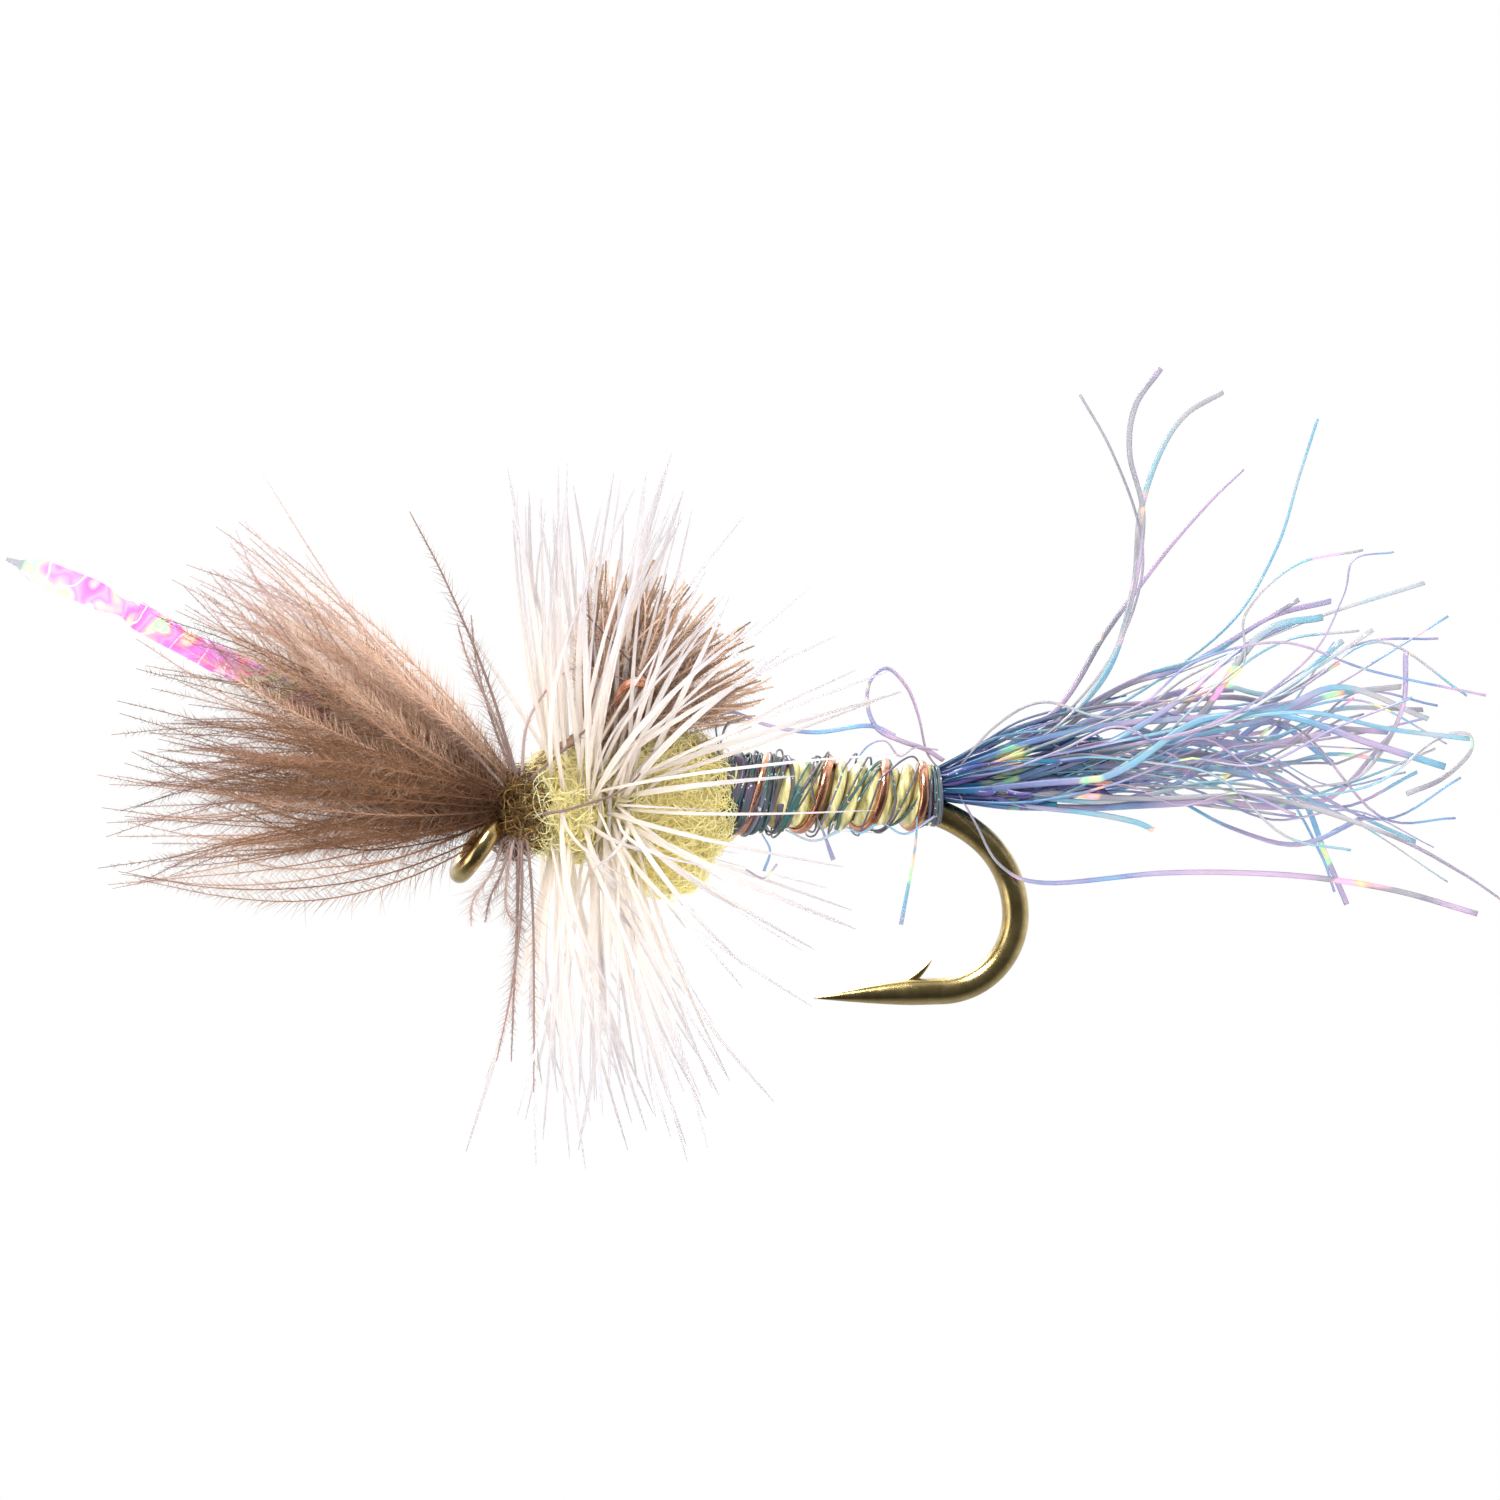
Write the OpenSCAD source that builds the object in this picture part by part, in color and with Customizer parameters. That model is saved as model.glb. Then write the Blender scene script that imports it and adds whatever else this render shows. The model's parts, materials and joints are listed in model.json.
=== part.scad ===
// Dry fly on a down-eye hook, in millimetres.
// The origin is the centre of the hook eye, +X runs along the shank to the bend and tail, +Z is up.

/* [Hook] */
// Diameter of the hook wire
wire_d = 0.4; // [0.36:0.02:0.44]
// Height of the shank's centre line above the centre of the eye
shank_z = 0.5; // [0.46:0.02:0.54]
// Distance from the eye to the start of the bend
bend_x = 6.05; // [5.8:0.05:6.3]
// Radius of the hole in the eye
eye_hole_r = 0.32; // [0.31:0.01:0.34]
// Diameter of the wire around the eye
eye_wire_d = 0.34; // [0.3:0.01:0.36]
// How far the eye turns down from the shank, in degrees
eye_down = 53; // [50:1:58]
// Length of the tapered point
point_len = 1.5; // [1.3:0.1:1.7]

/* [Body] */
// Start of the abdomen, behind the thorax
abdomen_x = 3.35; // [3.3:0.05:3.4]
// End of the abdomen, where the tail is tied in
tail_x = 6.75; // [6.7:0.05:6.8]
// Radius of the abdomen at the thorax
abdomen_r = 0.52; // [0.48:0.02:0.54]
// Radius of the abdomen at the tail
abdomen_tail_r = 0.4; // [0.38:0.02:0.42]
// Turns of quill on the abdomen
quill_turns = 13; // [12:1:14]
// Diameter of the copper rib wire
copper_d = 0.155; // [0.14:0.005:0.17]
// Turns of copper rib
copper_turns = 5; // [4:1:6]
// Diameter of the wound flash strand
flash_d = 0.08; // [0.07:0.01:0.09]
// Turns of wound flash
flash_turns = 9; // [8:1:10]

/* [Hackle] */
// Distance of the hackle from the eye, along the shank
hackle_x = 1.85; // [1.8:0.05:1.9]
// Number of barbs in the hackle solid
barb_count = 34; // [30:2:38]
// Length of the hackle barbs
barb_len = 5.3; // [5.1:0.1:5.5]
// Diameter of a barb at its root
barb_d = 0.12; // [0.1:0.01:0.14]

/* [Wing] */
// Length of the longest wing feather in front of the tie-in
wing_len = 6.0; // [5.8:0.1:6.2]
// Width of the twisted flash strip
strip_w = 0.42; // [0.38:0.02:0.46]

/* [Hidden] */

wire_r = wire_d / 2;
eye_wire_r = eye_wire_d / 2;
// The ring's own inner radius is a little under the hole, so drilling it leaves a true cylinder wall
eye_ring_r = eye_hole_r - 0.02 + eye_wire_r;
neck_x = 0.4;
// Bend, from the shank round to the point: radius and turn of each arc
bend_arcs = [[2.2, 40], [1.5, 50], [1.14, 90]];
spear_len = 0.42;
// The body's axis runs above the shank, because the tail fibres are laid along its top, and drops to the tail
body_z = shank_z + 0.23;
body_drop = 2.2;
body_len = tail_x - abdomen_x;
thread_r = 0.25;
lashing_gap = 0.005;
tie_in = [0.62, 0, shank_z + 0.12];
$fn = 48;

// ---- curves and lofts ----

// Point at t, 0 to 1, on the cubic curve with control points p
function bezier(p, t) = pow(1 - t, 3) * p[0] + 3 * pow(1 - t, 2) * t * p[1]
    + 3 * (1 - t) * t * t * p[2] + pow(t, 3) * p[3];
function curve(p, steps) = [for (i = [0 : steps]) bezier(p, i / steps)];
function unit(v) = v / norm(v);
function tangent(path, i) = unit(path[min(i + 1, len(path) - 1)] - path[max(i - 1, 0)]);
// Ring of points round path[i]: half-width a across, half-height b, turned by twist
function ring(path, i, a, b, sides, up, twist) =
    let (t = tangent(path, i), across = unit(cross(t, up)), high = cross(across, t))
    [for (k = [0 : sides - 1])
        let (angle = 360 * k / sides, x = a * cos(angle), y = b * sin(angle))
        path[i] + across * (x * cos(twist) - y * sin(twist))
                + high * (x * sin(twist) + y * cos(twist))];

// Closed solid along path, with the half-widths and half-heights given at each of its points
module loft(path, widths, heights, sides = 5, up = [0, 1, 0], twists = []) {
    last = len(path) - 1;
    points = [for (i = [0 : last])
        each ring(path, i, widths[i], heights[i], sides, up, len(twists) > 0 ? twists[i] : 0)];
    walls = [for (i = [0 : last - 1], k = [0 : sides - 1])
        let (a = i * sides + k, b = i * sides + (k + 1) % sides)
        each [[a, b, b + sides], [a, b + sides, a + sides]]];
    start = [for (k = [sides - 1 : -1 : 0]) k];
    end = [for (k = [0 : sides - 1]) last * sides + k];
    polyhedron(points, concat([start], walls, [end]));
}

// Fibre along a cubic curve, of radius r0 at its root and r1 at its tip
module fibre(p, r0, r1, steps = 7, sides = 4, up = [0, 1, 0]) {
    radii = [for (i = [0 : steps]) r0 + (r1 - r0) * i / steps];
    loft(curve(p, steps), radii, radii, sides, up);
}

// Soft tuft along a cubic curve: [half-width along Y, half-height] at its root, middle and end
module tuft(p, root, middle, end, steps = 8, sides = 12) {
    function blend(i, k) = let (t = i / steps)
        root[k] * (1 - t) * (1 - t) + 2 * middle[k] * t * (1 - t) + end[k] * t * t;
    loft(curve(p, steps), [for (i = [0 : steps]) blend(i, 0)], [for (i = [0 : steps]) blend(i, 1)],
         sides, [0, 0, 1]);
}

// Deterministic value from 0 to 1 for item i of series s
function spread(i, s) = (i * 0.618034 + s * 0.37) % 1;

// ---- hook ----

module along_x() {
    rotate([0, 90, 0]) children();
}

// Points of a bend that starts at p with its heading this many degrees below +X
function arc_points(p, heading, radius, turn, steps) =
    [for (i = [1 : steps]) let (a = heading + turn * i / steps)
        [p[0] + radius * (sin(a) - sin(heading)), 0, p[2] - radius * (cos(heading) - cos(a))]];
function last_of(list) = list[len(list) - 1];
bend_1 = arc_points([bend_x, 0, shank_z], 0, bend_arcs[0][0], bend_arcs[0][1], 7);
bend_2 = arc_points(last_of(bend_1), bend_arcs[0][1], bend_arcs[1][0], bend_arcs[1][1], 9);
bend_3 = arc_points(last_of(bend_2), 90, bend_arcs[2][0], bend_arcs[2][1], 16);
heel = last_of(bend_3);

module eye() {
    rotate([0, 90 - eye_down, 0]) along_x() difference() {
        rotate_extrude() translate([eye_ring_r, 0]) circle(r = eye_wire_r);
        cylinder(h = wire_d, r = eye_hole_r, center = true);
    }
}

// One wire from the eye along the shank, round the bend and out to the needle point
module wire() {
    foot = [eye_ring_r * cos(eye_down), 0, eye_ring_r * sin(eye_down)];
    neck = [foot, [neck_x - 0.06, 0, shank_z - 0.04], [neck_x + 0.06, 0, shank_z]];
    spear = [for (x = [spear_len, spear_len + point_len * 0.5, spear_len + point_len]) heel - [x, 0, 0]];
    path = concat(neck, [[bend_x, 0, shank_z]], bend_1, bend_2, bend_3, spear);
    count = len(path);
    radii = [for (i = [0 : count - 1])
        i == 0 ? eye_wire_r * 0.85 : i == count - 1 ? 0.015 : i == count - 2 ? wire_r * 0.6 : wire_r];
    loft(path, radii, radii, 16);
}

// The barb is sliced up from the spear towards the inside of the gape and leans to the bend
module barb() {
    translate(heel + [-spear_len - 0.06, 0, wire_r * 0.3]) rotate([0, 46, 0])
        cylinder(h = 0.52, r1 = 0.14, r2 = 0.012);
}

module hook() {
    color("darkgoldenrod") {
        eye();
        wire();
        barb();
    }
}

// ---- thread ----

// Sleeve of thread wraps on the shank
module wraps(x0, x1, r0, r1, hole_r = wire_r + lashing_gap) {
    translate([x0, 0, shank_z]) along_x() difference() {
        cylinder(h = x1 - x0, r1 = r0, r2 = r1);
        translate([0, 0, -1]) cylinder(h = x1 - x0 + 2, r = hole_r);
    }
}

module thread_underbody() {
    color("olive") wraps(0.95, 6.02, thread_r, thread_r);
}

module tail_lashing() {
    color("darkslategray") difference() {
        body_frame() translate([0, 0, body_len + 0.01])
            rotate_extrude() polygon([[0, 0], [abdomen_tail_r, 0], [abdomen_tail_r + 0.03, 0.06],
                [abdomen_tail_r, 0.13], [0, 0.13]]);
        translate([0, 0, shank_z]) along_x() cylinder(h = 9, r = wire_r + 0.05);
    }
}

module wing_lashing() {
    color("saddlebrown") wraps(0.72, 0.94, thread_r + 0.1, thread_r + 0.14);
}

module head_thread() {
    color("darkolivegreen") wraps(0.47, 0.71, 0.27, 0.36);
}

// ---- tail ----

module shuck_bundle() {
    color("steelblue") tuft([[tail_x + 0.16, 0, 0.79], [7.8, 0, 0.8], [8.8, 0, 1.1], [10.2, 0, 1.35]],
        [0.24, 0.2], [0.4, 0.42], [0.9, 0.75], 8, 12);
}

// Fibres that leave the end of the bundle and spread into the tail
module shuck_fibres() {
    count = 22;
    color("slateblue") for (i = [0 : count - 1]) {
        high = spread(i, 1);
        side = spread(i * 3, 2) - 0.5;
        reach = 13.2 + 1.9 * spread(i * 5, 3);
        fibre([[10.22, side * 1.3, 0.85 + 1.0 * high], [11.4, side * 2.2, 0.7 + 1.6 * high],
               [12.4, side * 1.6 + 0.5, 1.4 + 0.9 * high], [reach, side * 3.6, 0.2 + 3.4 * high]],
              0.05, 0.04);
    }
}

// Long single fibres that leave the bundle early and stand up above the tail or hang below it
module shuck_stray_fibres() {
    color("mediumpurple") {
        fibre([[9.0, -0.3, 1.75], [9.6, -0.5, 2.5], [10.3, -0.6, 3.7], [10.0, -0.4, 4.5]], 0.05, 0.045);
        fibre([[10.0, -0.45, 4.62], [9.9, -0.5, 5.2], [9.6, -0.7, 6.0], [10.25, -0.7, 6.86]], 0.045, 0.03);
        fibre([[9.88, -0.35, 4.62], [9.6, -0.2, 5.4], [9.4, 0.1, 6.0], [9.2, 0.2, 6.53]], 0.045, 0.03);
        fibre([[10.12, -0.35, 4.62], [10.3, -0.2, 5.6], [10.6, 0.2, 6.2], [11.4, 0.4, 6.55]], 0.045, 0.035);
        fibre([[9.1, 0.2, 1.8], [9.8, 0.6, 2.9], [10.7, 0.9, 4.3], [11.78, 0.8, 5.4]], 0.05, 0.045);
        fibre([[9.8, 0.45, 2.0], [11.2, 0.9, 2.7], [12.6, 1.3, 3.8], [12.85, 1.2, 5.2]], 0.05, 0.045);
        fibre([[12.87, 1.2, 5.3], [12.8, 1.2, 5.6], [12.9, 1.15, 5.9], [13.0, 1.1, 6.15]], 0.05, 0.04);
        fibre([[10.0, -0.4, 2.1], [11.2, -1.2, 2.0], [12.4, -1.6, 3.0], [13.6, -1.4, 4.02]], 0.045, 0.035);
        fibre([[9.9, 0.7, 1.9], [11.6, 1.6, 2.5], [12.8, 1.4, 3.2], [14.75, 1.7, 3.65]], 0.045, 0.04);
        fibre([[8.4, -0.5, -0.73], [10.2, -0.7, -0.5], [12.6, -0.9, -0.4], [14.77, -1.1, -1.34]], 0.05, 0.05);
        fibre([[7.6, -0.25, 0.4], [7.6, -0.5, 0.1], [7.7, -0.55, -0.4], [8.3, -0.5, -0.7]], 0.04, 0.045);
        fibre([[9.6, 0.6, 0.6], [11.2, 1.0, 0.4], [12.6, 1.3, 0.9], [13.28, 1.1, -1.2]], 0.045, 0.045);
        fibre([[9.8, -0.6, 0.6], [11.2, -1.2, 0.3], [13.2, -1.5, 0.6], [15.17, -1.6, -1.24]], 0.045, 0.035);
    }
}

// ---- abdomen ----

// Frame of the abdomen: its axis is local +Z, from the thorax to the tail
module body_frame() {
    translate([abdomen_x, 0, body_z]) rotate([0, 90 + body_drop, 0]) children();
}

function body_r(l) = abdomen_r + (abdomen_tail_r - abdomen_r) * l / body_len;

// Touching turns of quill, each a rounded ridge
module abdomen_quill() {
    pitch = body_len / quill_turns;
    groove = 0.06;
    ridges = [for (i = [0 : quill_turns - 1])
        each [[body_r(pitch * i) - groove, pitch * i],
              [body_r(pitch * i), pitch * (i + 0.35)],
              [body_r(pitch * i), pitch * (i + 0.65)]]];
    outline = concat([[0, 0]], ridges, [[abdomen_tail_r - groove, body_len], [0, body_len]]);
    color("darkkhaki") difference() {
        body_frame() rotate_extrude() polygon(outline);
        translate([0, 0, shank_z]) along_x() cylinder(h = 9, r = thread_r + lashing_gap);
    }
}

// Wire wound round the abdomen from l0 to l1 along its axis
module body_coil(l0, l1, lift, turns, wire_radius, sides, steps, start) {
    count = turns * steps;
    path = [for (i = [0 : count])
        let (t = i / count, angle = start + 360 * turns * t, l = l0 + (l1 - l0) * t, r = body_r(l) + lift)
        [r * cos(angle), r * sin(angle), l]];
    radii = [for (i = [0 : count]) wire_radius];
    body_frame() loft(path, radii, radii, sides, [0, 0, 1]);
}

module copper_rib() {
    color("chocolate")
        body_coil(0.3, body_len - 0.1, copper_d / 2 - 0.02, copper_turns, copper_d / 2, 6, 16, 160);
}

module flash_rib() {
    color("darkslateblue")
        body_coil(0.05, body_len - 0.05, 0, flash_turns, flash_d / 2, 4, 12, 30);
}

module flash_loop() {
    color("mediumpurple") {
        // The loop runs up, over and back down to the tail, then the strand lies along the body
        fibre([[6.9, -0.1, 1.13], [6.2, -0.3, 1.2], [5.45, -0.3, 1.9], [5.95, -0.25, 2.45]], 0.04, 0.04, 8);
        fibre([[5.93, -0.25, 2.43], [6.25, -0.2, 2.75], [6.75, 0, 2.0], [6.62, 0.1, 1.3]], 0.04, 0.04, 8);
        fibre([[3.5, -0.2, 1.95], [4.2, -0.3, 1.75], [5.0, -0.2, 1.5], [5.85, -0.2, 1.7]], 0.035, 0.035);
    }
}

module flash_stubs() {
    color("royalblue") {
        fibre([[5.05, -0.35, 0.22], [5.1, -0.4, 0.1], [5.15, -0.4, -0.1], [5.21, -0.4, -0.31]], 0.05, 0.05);
        fibre([[6.44, -0.3, 0.3], [6.45, -0.4, -0.2], [6.3, -0.45, -0.8], [6.2, -0.45, -1.3]], 0.05, 0.045);
        fibre([[3.9, -0.4, 0.2], [4.1, -0.6, -0.3], [4.6, -0.6, -0.5], [4.2, -0.6, -0.7]], 0.03, 0.03);
        fibre([[3.6, -0.2, 1.1], [3.5, -0.4, 1.5], [3.6, -0.4, 2.0], [4.0, -0.4, 1.7]], 0.05, 0.05);
    }
}

// ---- thorax ----

module thorax_dubbing_rear() {
    color("khaki") difference() {
        union() {
            translate([2.95, 0, 0.62]) sphere(r = 0.86);
            translate([2.55, 0, 0.66]) sphere(r = 0.8);
            translate([2.78, 0, -0.05]) sphere(r = 0.55);
        }
        translate([0, 0, shank_z]) along_x() cylinder(h = 9, r = thread_r + lashing_gap);
        translate([abdomen_x, -2, -2]) cube([4, 4, 4]);
    }
}

module thorax_dubbing_front() {
    color("khaki") difference() {
        union() {
            translate([1.4, 0, 0.6]) sphere(r = 0.72);
            translate([1.15, 0, 0.6]) sphere(r = 0.62);
        }
        translate([0, 0, shank_z]) along_x() cylinder(h = 9, r = thread_r + lashing_gap);
        translate([-3.05, -2, -2]) cube([4, 4, 4]);
        translate([hackle_x, -2, -2]) cube([4, 4, 4]);
    }
}

// ---- hackle ----

module hackle_stem() {
    turns = 4;
    steps = 14;
    path = [for (i = [0 : turns * steps])
        [0.74 * cos(360 * i / steps), 0.74 * sin(360 * i / steps), 0.55 * i / (turns * steps)]];
    radii = [for (p = path) 0.05];
    color("ivory") translate([hackle_x - 0.25, 0, shank_z + 0.1]) along_x()
        loft(path, radii, radii, 5, [0, 0, 1]);
}

// Barbs radiate from the stem and most lean towards the tail; a gap straight below keeps the tippet's way clear
module hackle_barbs() {
    root_r = 0.8;
    gap = 14;
    color("floralwhite") for (i = [0 : barb_count - 1]) {
        angle = 180 + gap + (360 - 2 * gap) * i / (barb_count - 1);
        lean = -14 + 44 * spread(i, 4);
        length = barb_len * (0.86 + 0.16 * spread(i, 5)) - root_r;
        translate([hackle_x - 0.2 + 0.5 * spread(i, 6), 0, shank_z + 0.1]) rotate([angle, 0, 0])
            translate([0, 0, root_r]) rotate([0, lean, 0])
                cylinder(h = length, r1 = barb_d / 2, r2 = 0.012, $fn = 16);
    }
}

// ---- wing ----

// Feather swept forward from the tie-in; it leaves at this angle above the shank and its fan opens by
// half_fan degrees to each side
module plume(angle, half_fan, half_w, lift) {
    root = tie_in + [0, 0, lift];
    way = [-cos(angle), 0, sin(angle)];
    root_h = 0.06;
    end_h = wing_len * tan(half_fan);
    color("rosybrown") tuft([root, root + way * wing_len * 0.33, root + way * wing_len * 0.66,
                             root + way * wing_len],
        [0.2, root_h], [half_w * 0.7, (root_h + end_h) / 2], [half_w, end_h], 7, 12);
}

module wing_plume_upper() {
    plume(42, 10, 1.4, 0.15);
}

module wing_plume_middle() {
    plume(20, 11.5, 1.8, 0);
}

module wing_plume_lower() {
    plume(-2.5, 10.5, 1.5, -0.15);
}

module wing_quills() {
    color("saddlebrown") for (tip = [[-2.6, 0.4, 3.7], [-3.4, -0.3, 2.0], [-3.2, 0.3, 0.5]])
        fibre([tie_in, tie_in + (tip - tie_in) * 0.3, tie_in + (tip - tie_in) * 0.7, tip], 0.1, 0.02, 6, 6);
}

// The feathers' middles, carried back over the thorax under the hackle
module wing_strands() {
    color("peru") tuft([[0.75, 0, 0.95], [1.1, 0, 1.6], [1.6, 0, 1.7], [2.1, 0, 1.9]],
        [0.25, 0.12], [0.35, 0.16], [0.4, 0.2], 6, 10);
}

module wing_butts() {
    color("sienna") tuft([[2.12, 0, 1.92], [2.5, 0, 2.3], [2.9, 0, 2.7], [3.35, 0, 3.15]],
        [0.4, 0.25], [0.7, 0.8], [0.95, 1.3], 7, 14);
}

// Flat film twisted into a spiral, cut to a point at its free end
module flash_strip() {
    steps = 120;
    twist = 6;
    half_thickness = 0.035;
    path = curve([[-0.6, 0, 1.3], [-2.2, 0.1, 2.1], [-3.8, -0.1, 3.0], [-6.95, 0, 4.42]], steps);
    half_widths = [for (i = [0 : steps]) strip_w / 2 * min(1, (steps - i + 2) / 12)];
    color("orchid") loft(path, half_widths, [for (i = [0 : steps]) half_thickness], 4, [0, 1, 0],
        [for (i = [0 : steps]) twist * i]);
}

// Loose barbs of the wing feathers at the head: some hang as legs, some stand up
module leg_barbs() {
    root_low = [0.68, 0, 0.15];
    color("rosybrown") for (side = [-1, 1]) {
        fibre([root_low + [0, 0.42 * side, 0], [0.7, 0.6 * side, -1.2], [0.65, 0.75 * side, -2.4],
               [0.6, 0.8 * side, -3.6]], 0.05, 0.02);
        fibre([root_low + [0, 0.45 * side, 0], [0.6, 0.9 * side, -1.0], [0.4, 1.1 * side, -2.1],
               [0.1, 1.2 * side, -3.1]], 0.05, 0.02);
    }
    color("rosybrown") {
        fibre([[0.6, -0.3, 1.0], [0.2, -0.5, 2.4], [-0.3, -0.6, 3.8], [-0.96, -0.6, 4.94]], 0.05, 0.02);
        fibre([[0.62, 0.3, 1.0], [0.3, 0.6, 1.8], [0.1, 0.7, 2.6], [0.03, 0.7, 3.43]], 0.05, 0.02);
        fibre([[0.62, -0.4, 0.4], [1.4, -1.1, 0.5], [2.7, -1.2, 0.9], [2.81, -1.1, 2.1]], 0.04, 0.02);
        fibre([[0.7, -0.4, 0.9], [1.3, -0.9, 1.4], [2.1, -1.1, 2.2], [2.76, -1.1, 3.0]], 0.04, 0.02);
    }
}

// ---- head ----

module head_fuzz() {
    color("darkolivegreen") difference() {
        translate([0.66, 0, shank_z]) sphere(r = 0.5);
        translate([0, 0, shank_z]) along_x() cylinder(h = 9, r = thread_r + 0.12);
        translate([-1.02, -2, -2]) cube([1.5, 4, 4]);
        translate([0.9, -2, -2]) cube([2, 4, 4]);
    }
}

hook();
thread_underbody();
tail_lashing();
shuck_bundle();
shuck_fibres();
shuck_stray_fibres();
abdomen_quill();
copper_rib();
flash_rib();
flash_loop();
flash_stubs();
thorax_dubbing_rear();
thorax_dubbing_front();
hackle_stem();
hackle_barbs();
wing_plume_upper();
wing_plume_middle();
wing_plume_lower();
wing_quills();
wing_strands();
wing_butts();
wing_lashing();
flash_strip();
leg_barbs();
head_thread();
head_fuzz();
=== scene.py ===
"""Looks of the dry fly. Lengths below are in millimetres in the part's own frame, and MM turns them into metres."""

import json
import math

import bmesh
import bpy
import numpy as np
from mathutils import Matrix, Vector, noise


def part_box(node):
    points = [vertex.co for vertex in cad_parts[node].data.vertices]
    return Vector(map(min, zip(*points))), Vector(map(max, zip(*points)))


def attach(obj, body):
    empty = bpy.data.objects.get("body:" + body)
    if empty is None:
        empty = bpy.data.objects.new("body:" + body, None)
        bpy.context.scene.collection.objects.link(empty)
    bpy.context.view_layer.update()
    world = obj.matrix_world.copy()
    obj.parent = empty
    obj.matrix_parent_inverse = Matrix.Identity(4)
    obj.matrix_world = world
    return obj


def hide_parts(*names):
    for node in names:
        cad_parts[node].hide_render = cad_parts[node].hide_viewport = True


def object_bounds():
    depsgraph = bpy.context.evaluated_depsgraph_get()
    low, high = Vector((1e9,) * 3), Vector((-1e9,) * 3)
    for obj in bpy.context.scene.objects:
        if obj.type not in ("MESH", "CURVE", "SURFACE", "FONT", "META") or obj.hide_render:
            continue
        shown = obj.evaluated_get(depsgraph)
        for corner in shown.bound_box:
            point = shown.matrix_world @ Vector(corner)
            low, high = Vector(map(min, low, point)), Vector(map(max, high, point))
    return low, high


MM = 0.001
BODY = "root"
TAU = 2 * math.pi

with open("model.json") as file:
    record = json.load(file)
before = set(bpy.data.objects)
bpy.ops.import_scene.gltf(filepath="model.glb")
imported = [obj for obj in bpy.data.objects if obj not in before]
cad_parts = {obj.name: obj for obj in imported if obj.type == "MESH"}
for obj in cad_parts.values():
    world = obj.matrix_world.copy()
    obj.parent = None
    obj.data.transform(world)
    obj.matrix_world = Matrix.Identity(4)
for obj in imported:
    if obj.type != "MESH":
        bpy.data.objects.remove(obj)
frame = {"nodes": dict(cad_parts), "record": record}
cad_bounds = [list(corner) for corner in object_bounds()]
rng = np.random.default_rng(7)


# ---- places taken from the frame, in millimetres ----


def box_mm(node):
    low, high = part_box(node)
    return np.array(low) / MM, np.array(high) / MM


def middle_of(node):
    low, high = box_mm(node)
    return (low + high) / 2


MOUNTS = {m["name"]: m for m in frame["record"]["mounts"]}
EYE_AXIS = np.array(MOUNTS["hook_eye"]["axis"])
EYE_HOLE_R = MOUNTS["hook_eye"]["dims"]["r_mm"]
ABDOMEN_LOW, ABDOMEN_HIGH = box_mm("abdomen_quill")
STEM = middle_of("hackle_stem")
SHANK_Z = middle_of("wing_lashing")[2]
TIE_IN = np.array([box_mm("wing_plume_middle")[1][0], 0, SHANK_Z + 0.12])


# ---- strands ----


def unit(v):
    return v / np.maximum(np.linalg.norm(v, axis=-1, keepdims=True), 1e-12)


def vary(count, low, high):
    return rng.uniform(low, high, count)


def smooth_path(points, count):
    """Catmull-Rom curve through (k, 3) or (m, k, 3) points, sampled at count places."""
    p = np.asarray(points, float)
    single = p.ndim == 2
    if single:
        p = p[None]
    p = np.concatenate([2 * p[:, :1] - p[:, 1:2], p, 2 * p[:, -1:] - p[:, -2:-1]], axis=1)
    spans = p.shape[1] - 3
    s = np.linspace(0, spans, count)
    i = np.minimum(s.astype(int), spans - 1)
    t = (s - i)[None, :, None]
    a, b, c, d = p[:, i], p[:, i + 1], p[:, i + 2], p[:, i + 3]
    out = 0.5 * (2 * b + (c - a) * t + (2 * a - 5 * b + 4 * c - d) * t**2 + (3 * b - 3 * c + d - a) * t**3)
    return out[0] if single else out


def path_frames(paths, first=None):
    """Unit tangents, and two normals carried along each path without twisting. paths is (m, n, 3)."""
    t = unit(np.gradient(paths, axis=1))
    if first is None:
        first = np.tile([0.13, 1.0, 0.07], (len(paths), 1))
    normals = np.empty_like(paths)
    n = first
    for i in range(paths.shape[1]):
        n = unit(n - (n * t[:, i]).sum(-1, keepdims=True) * t[:, i])
        normals[:, i] = n
    return t, normals, np.cross(t, normals)


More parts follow.
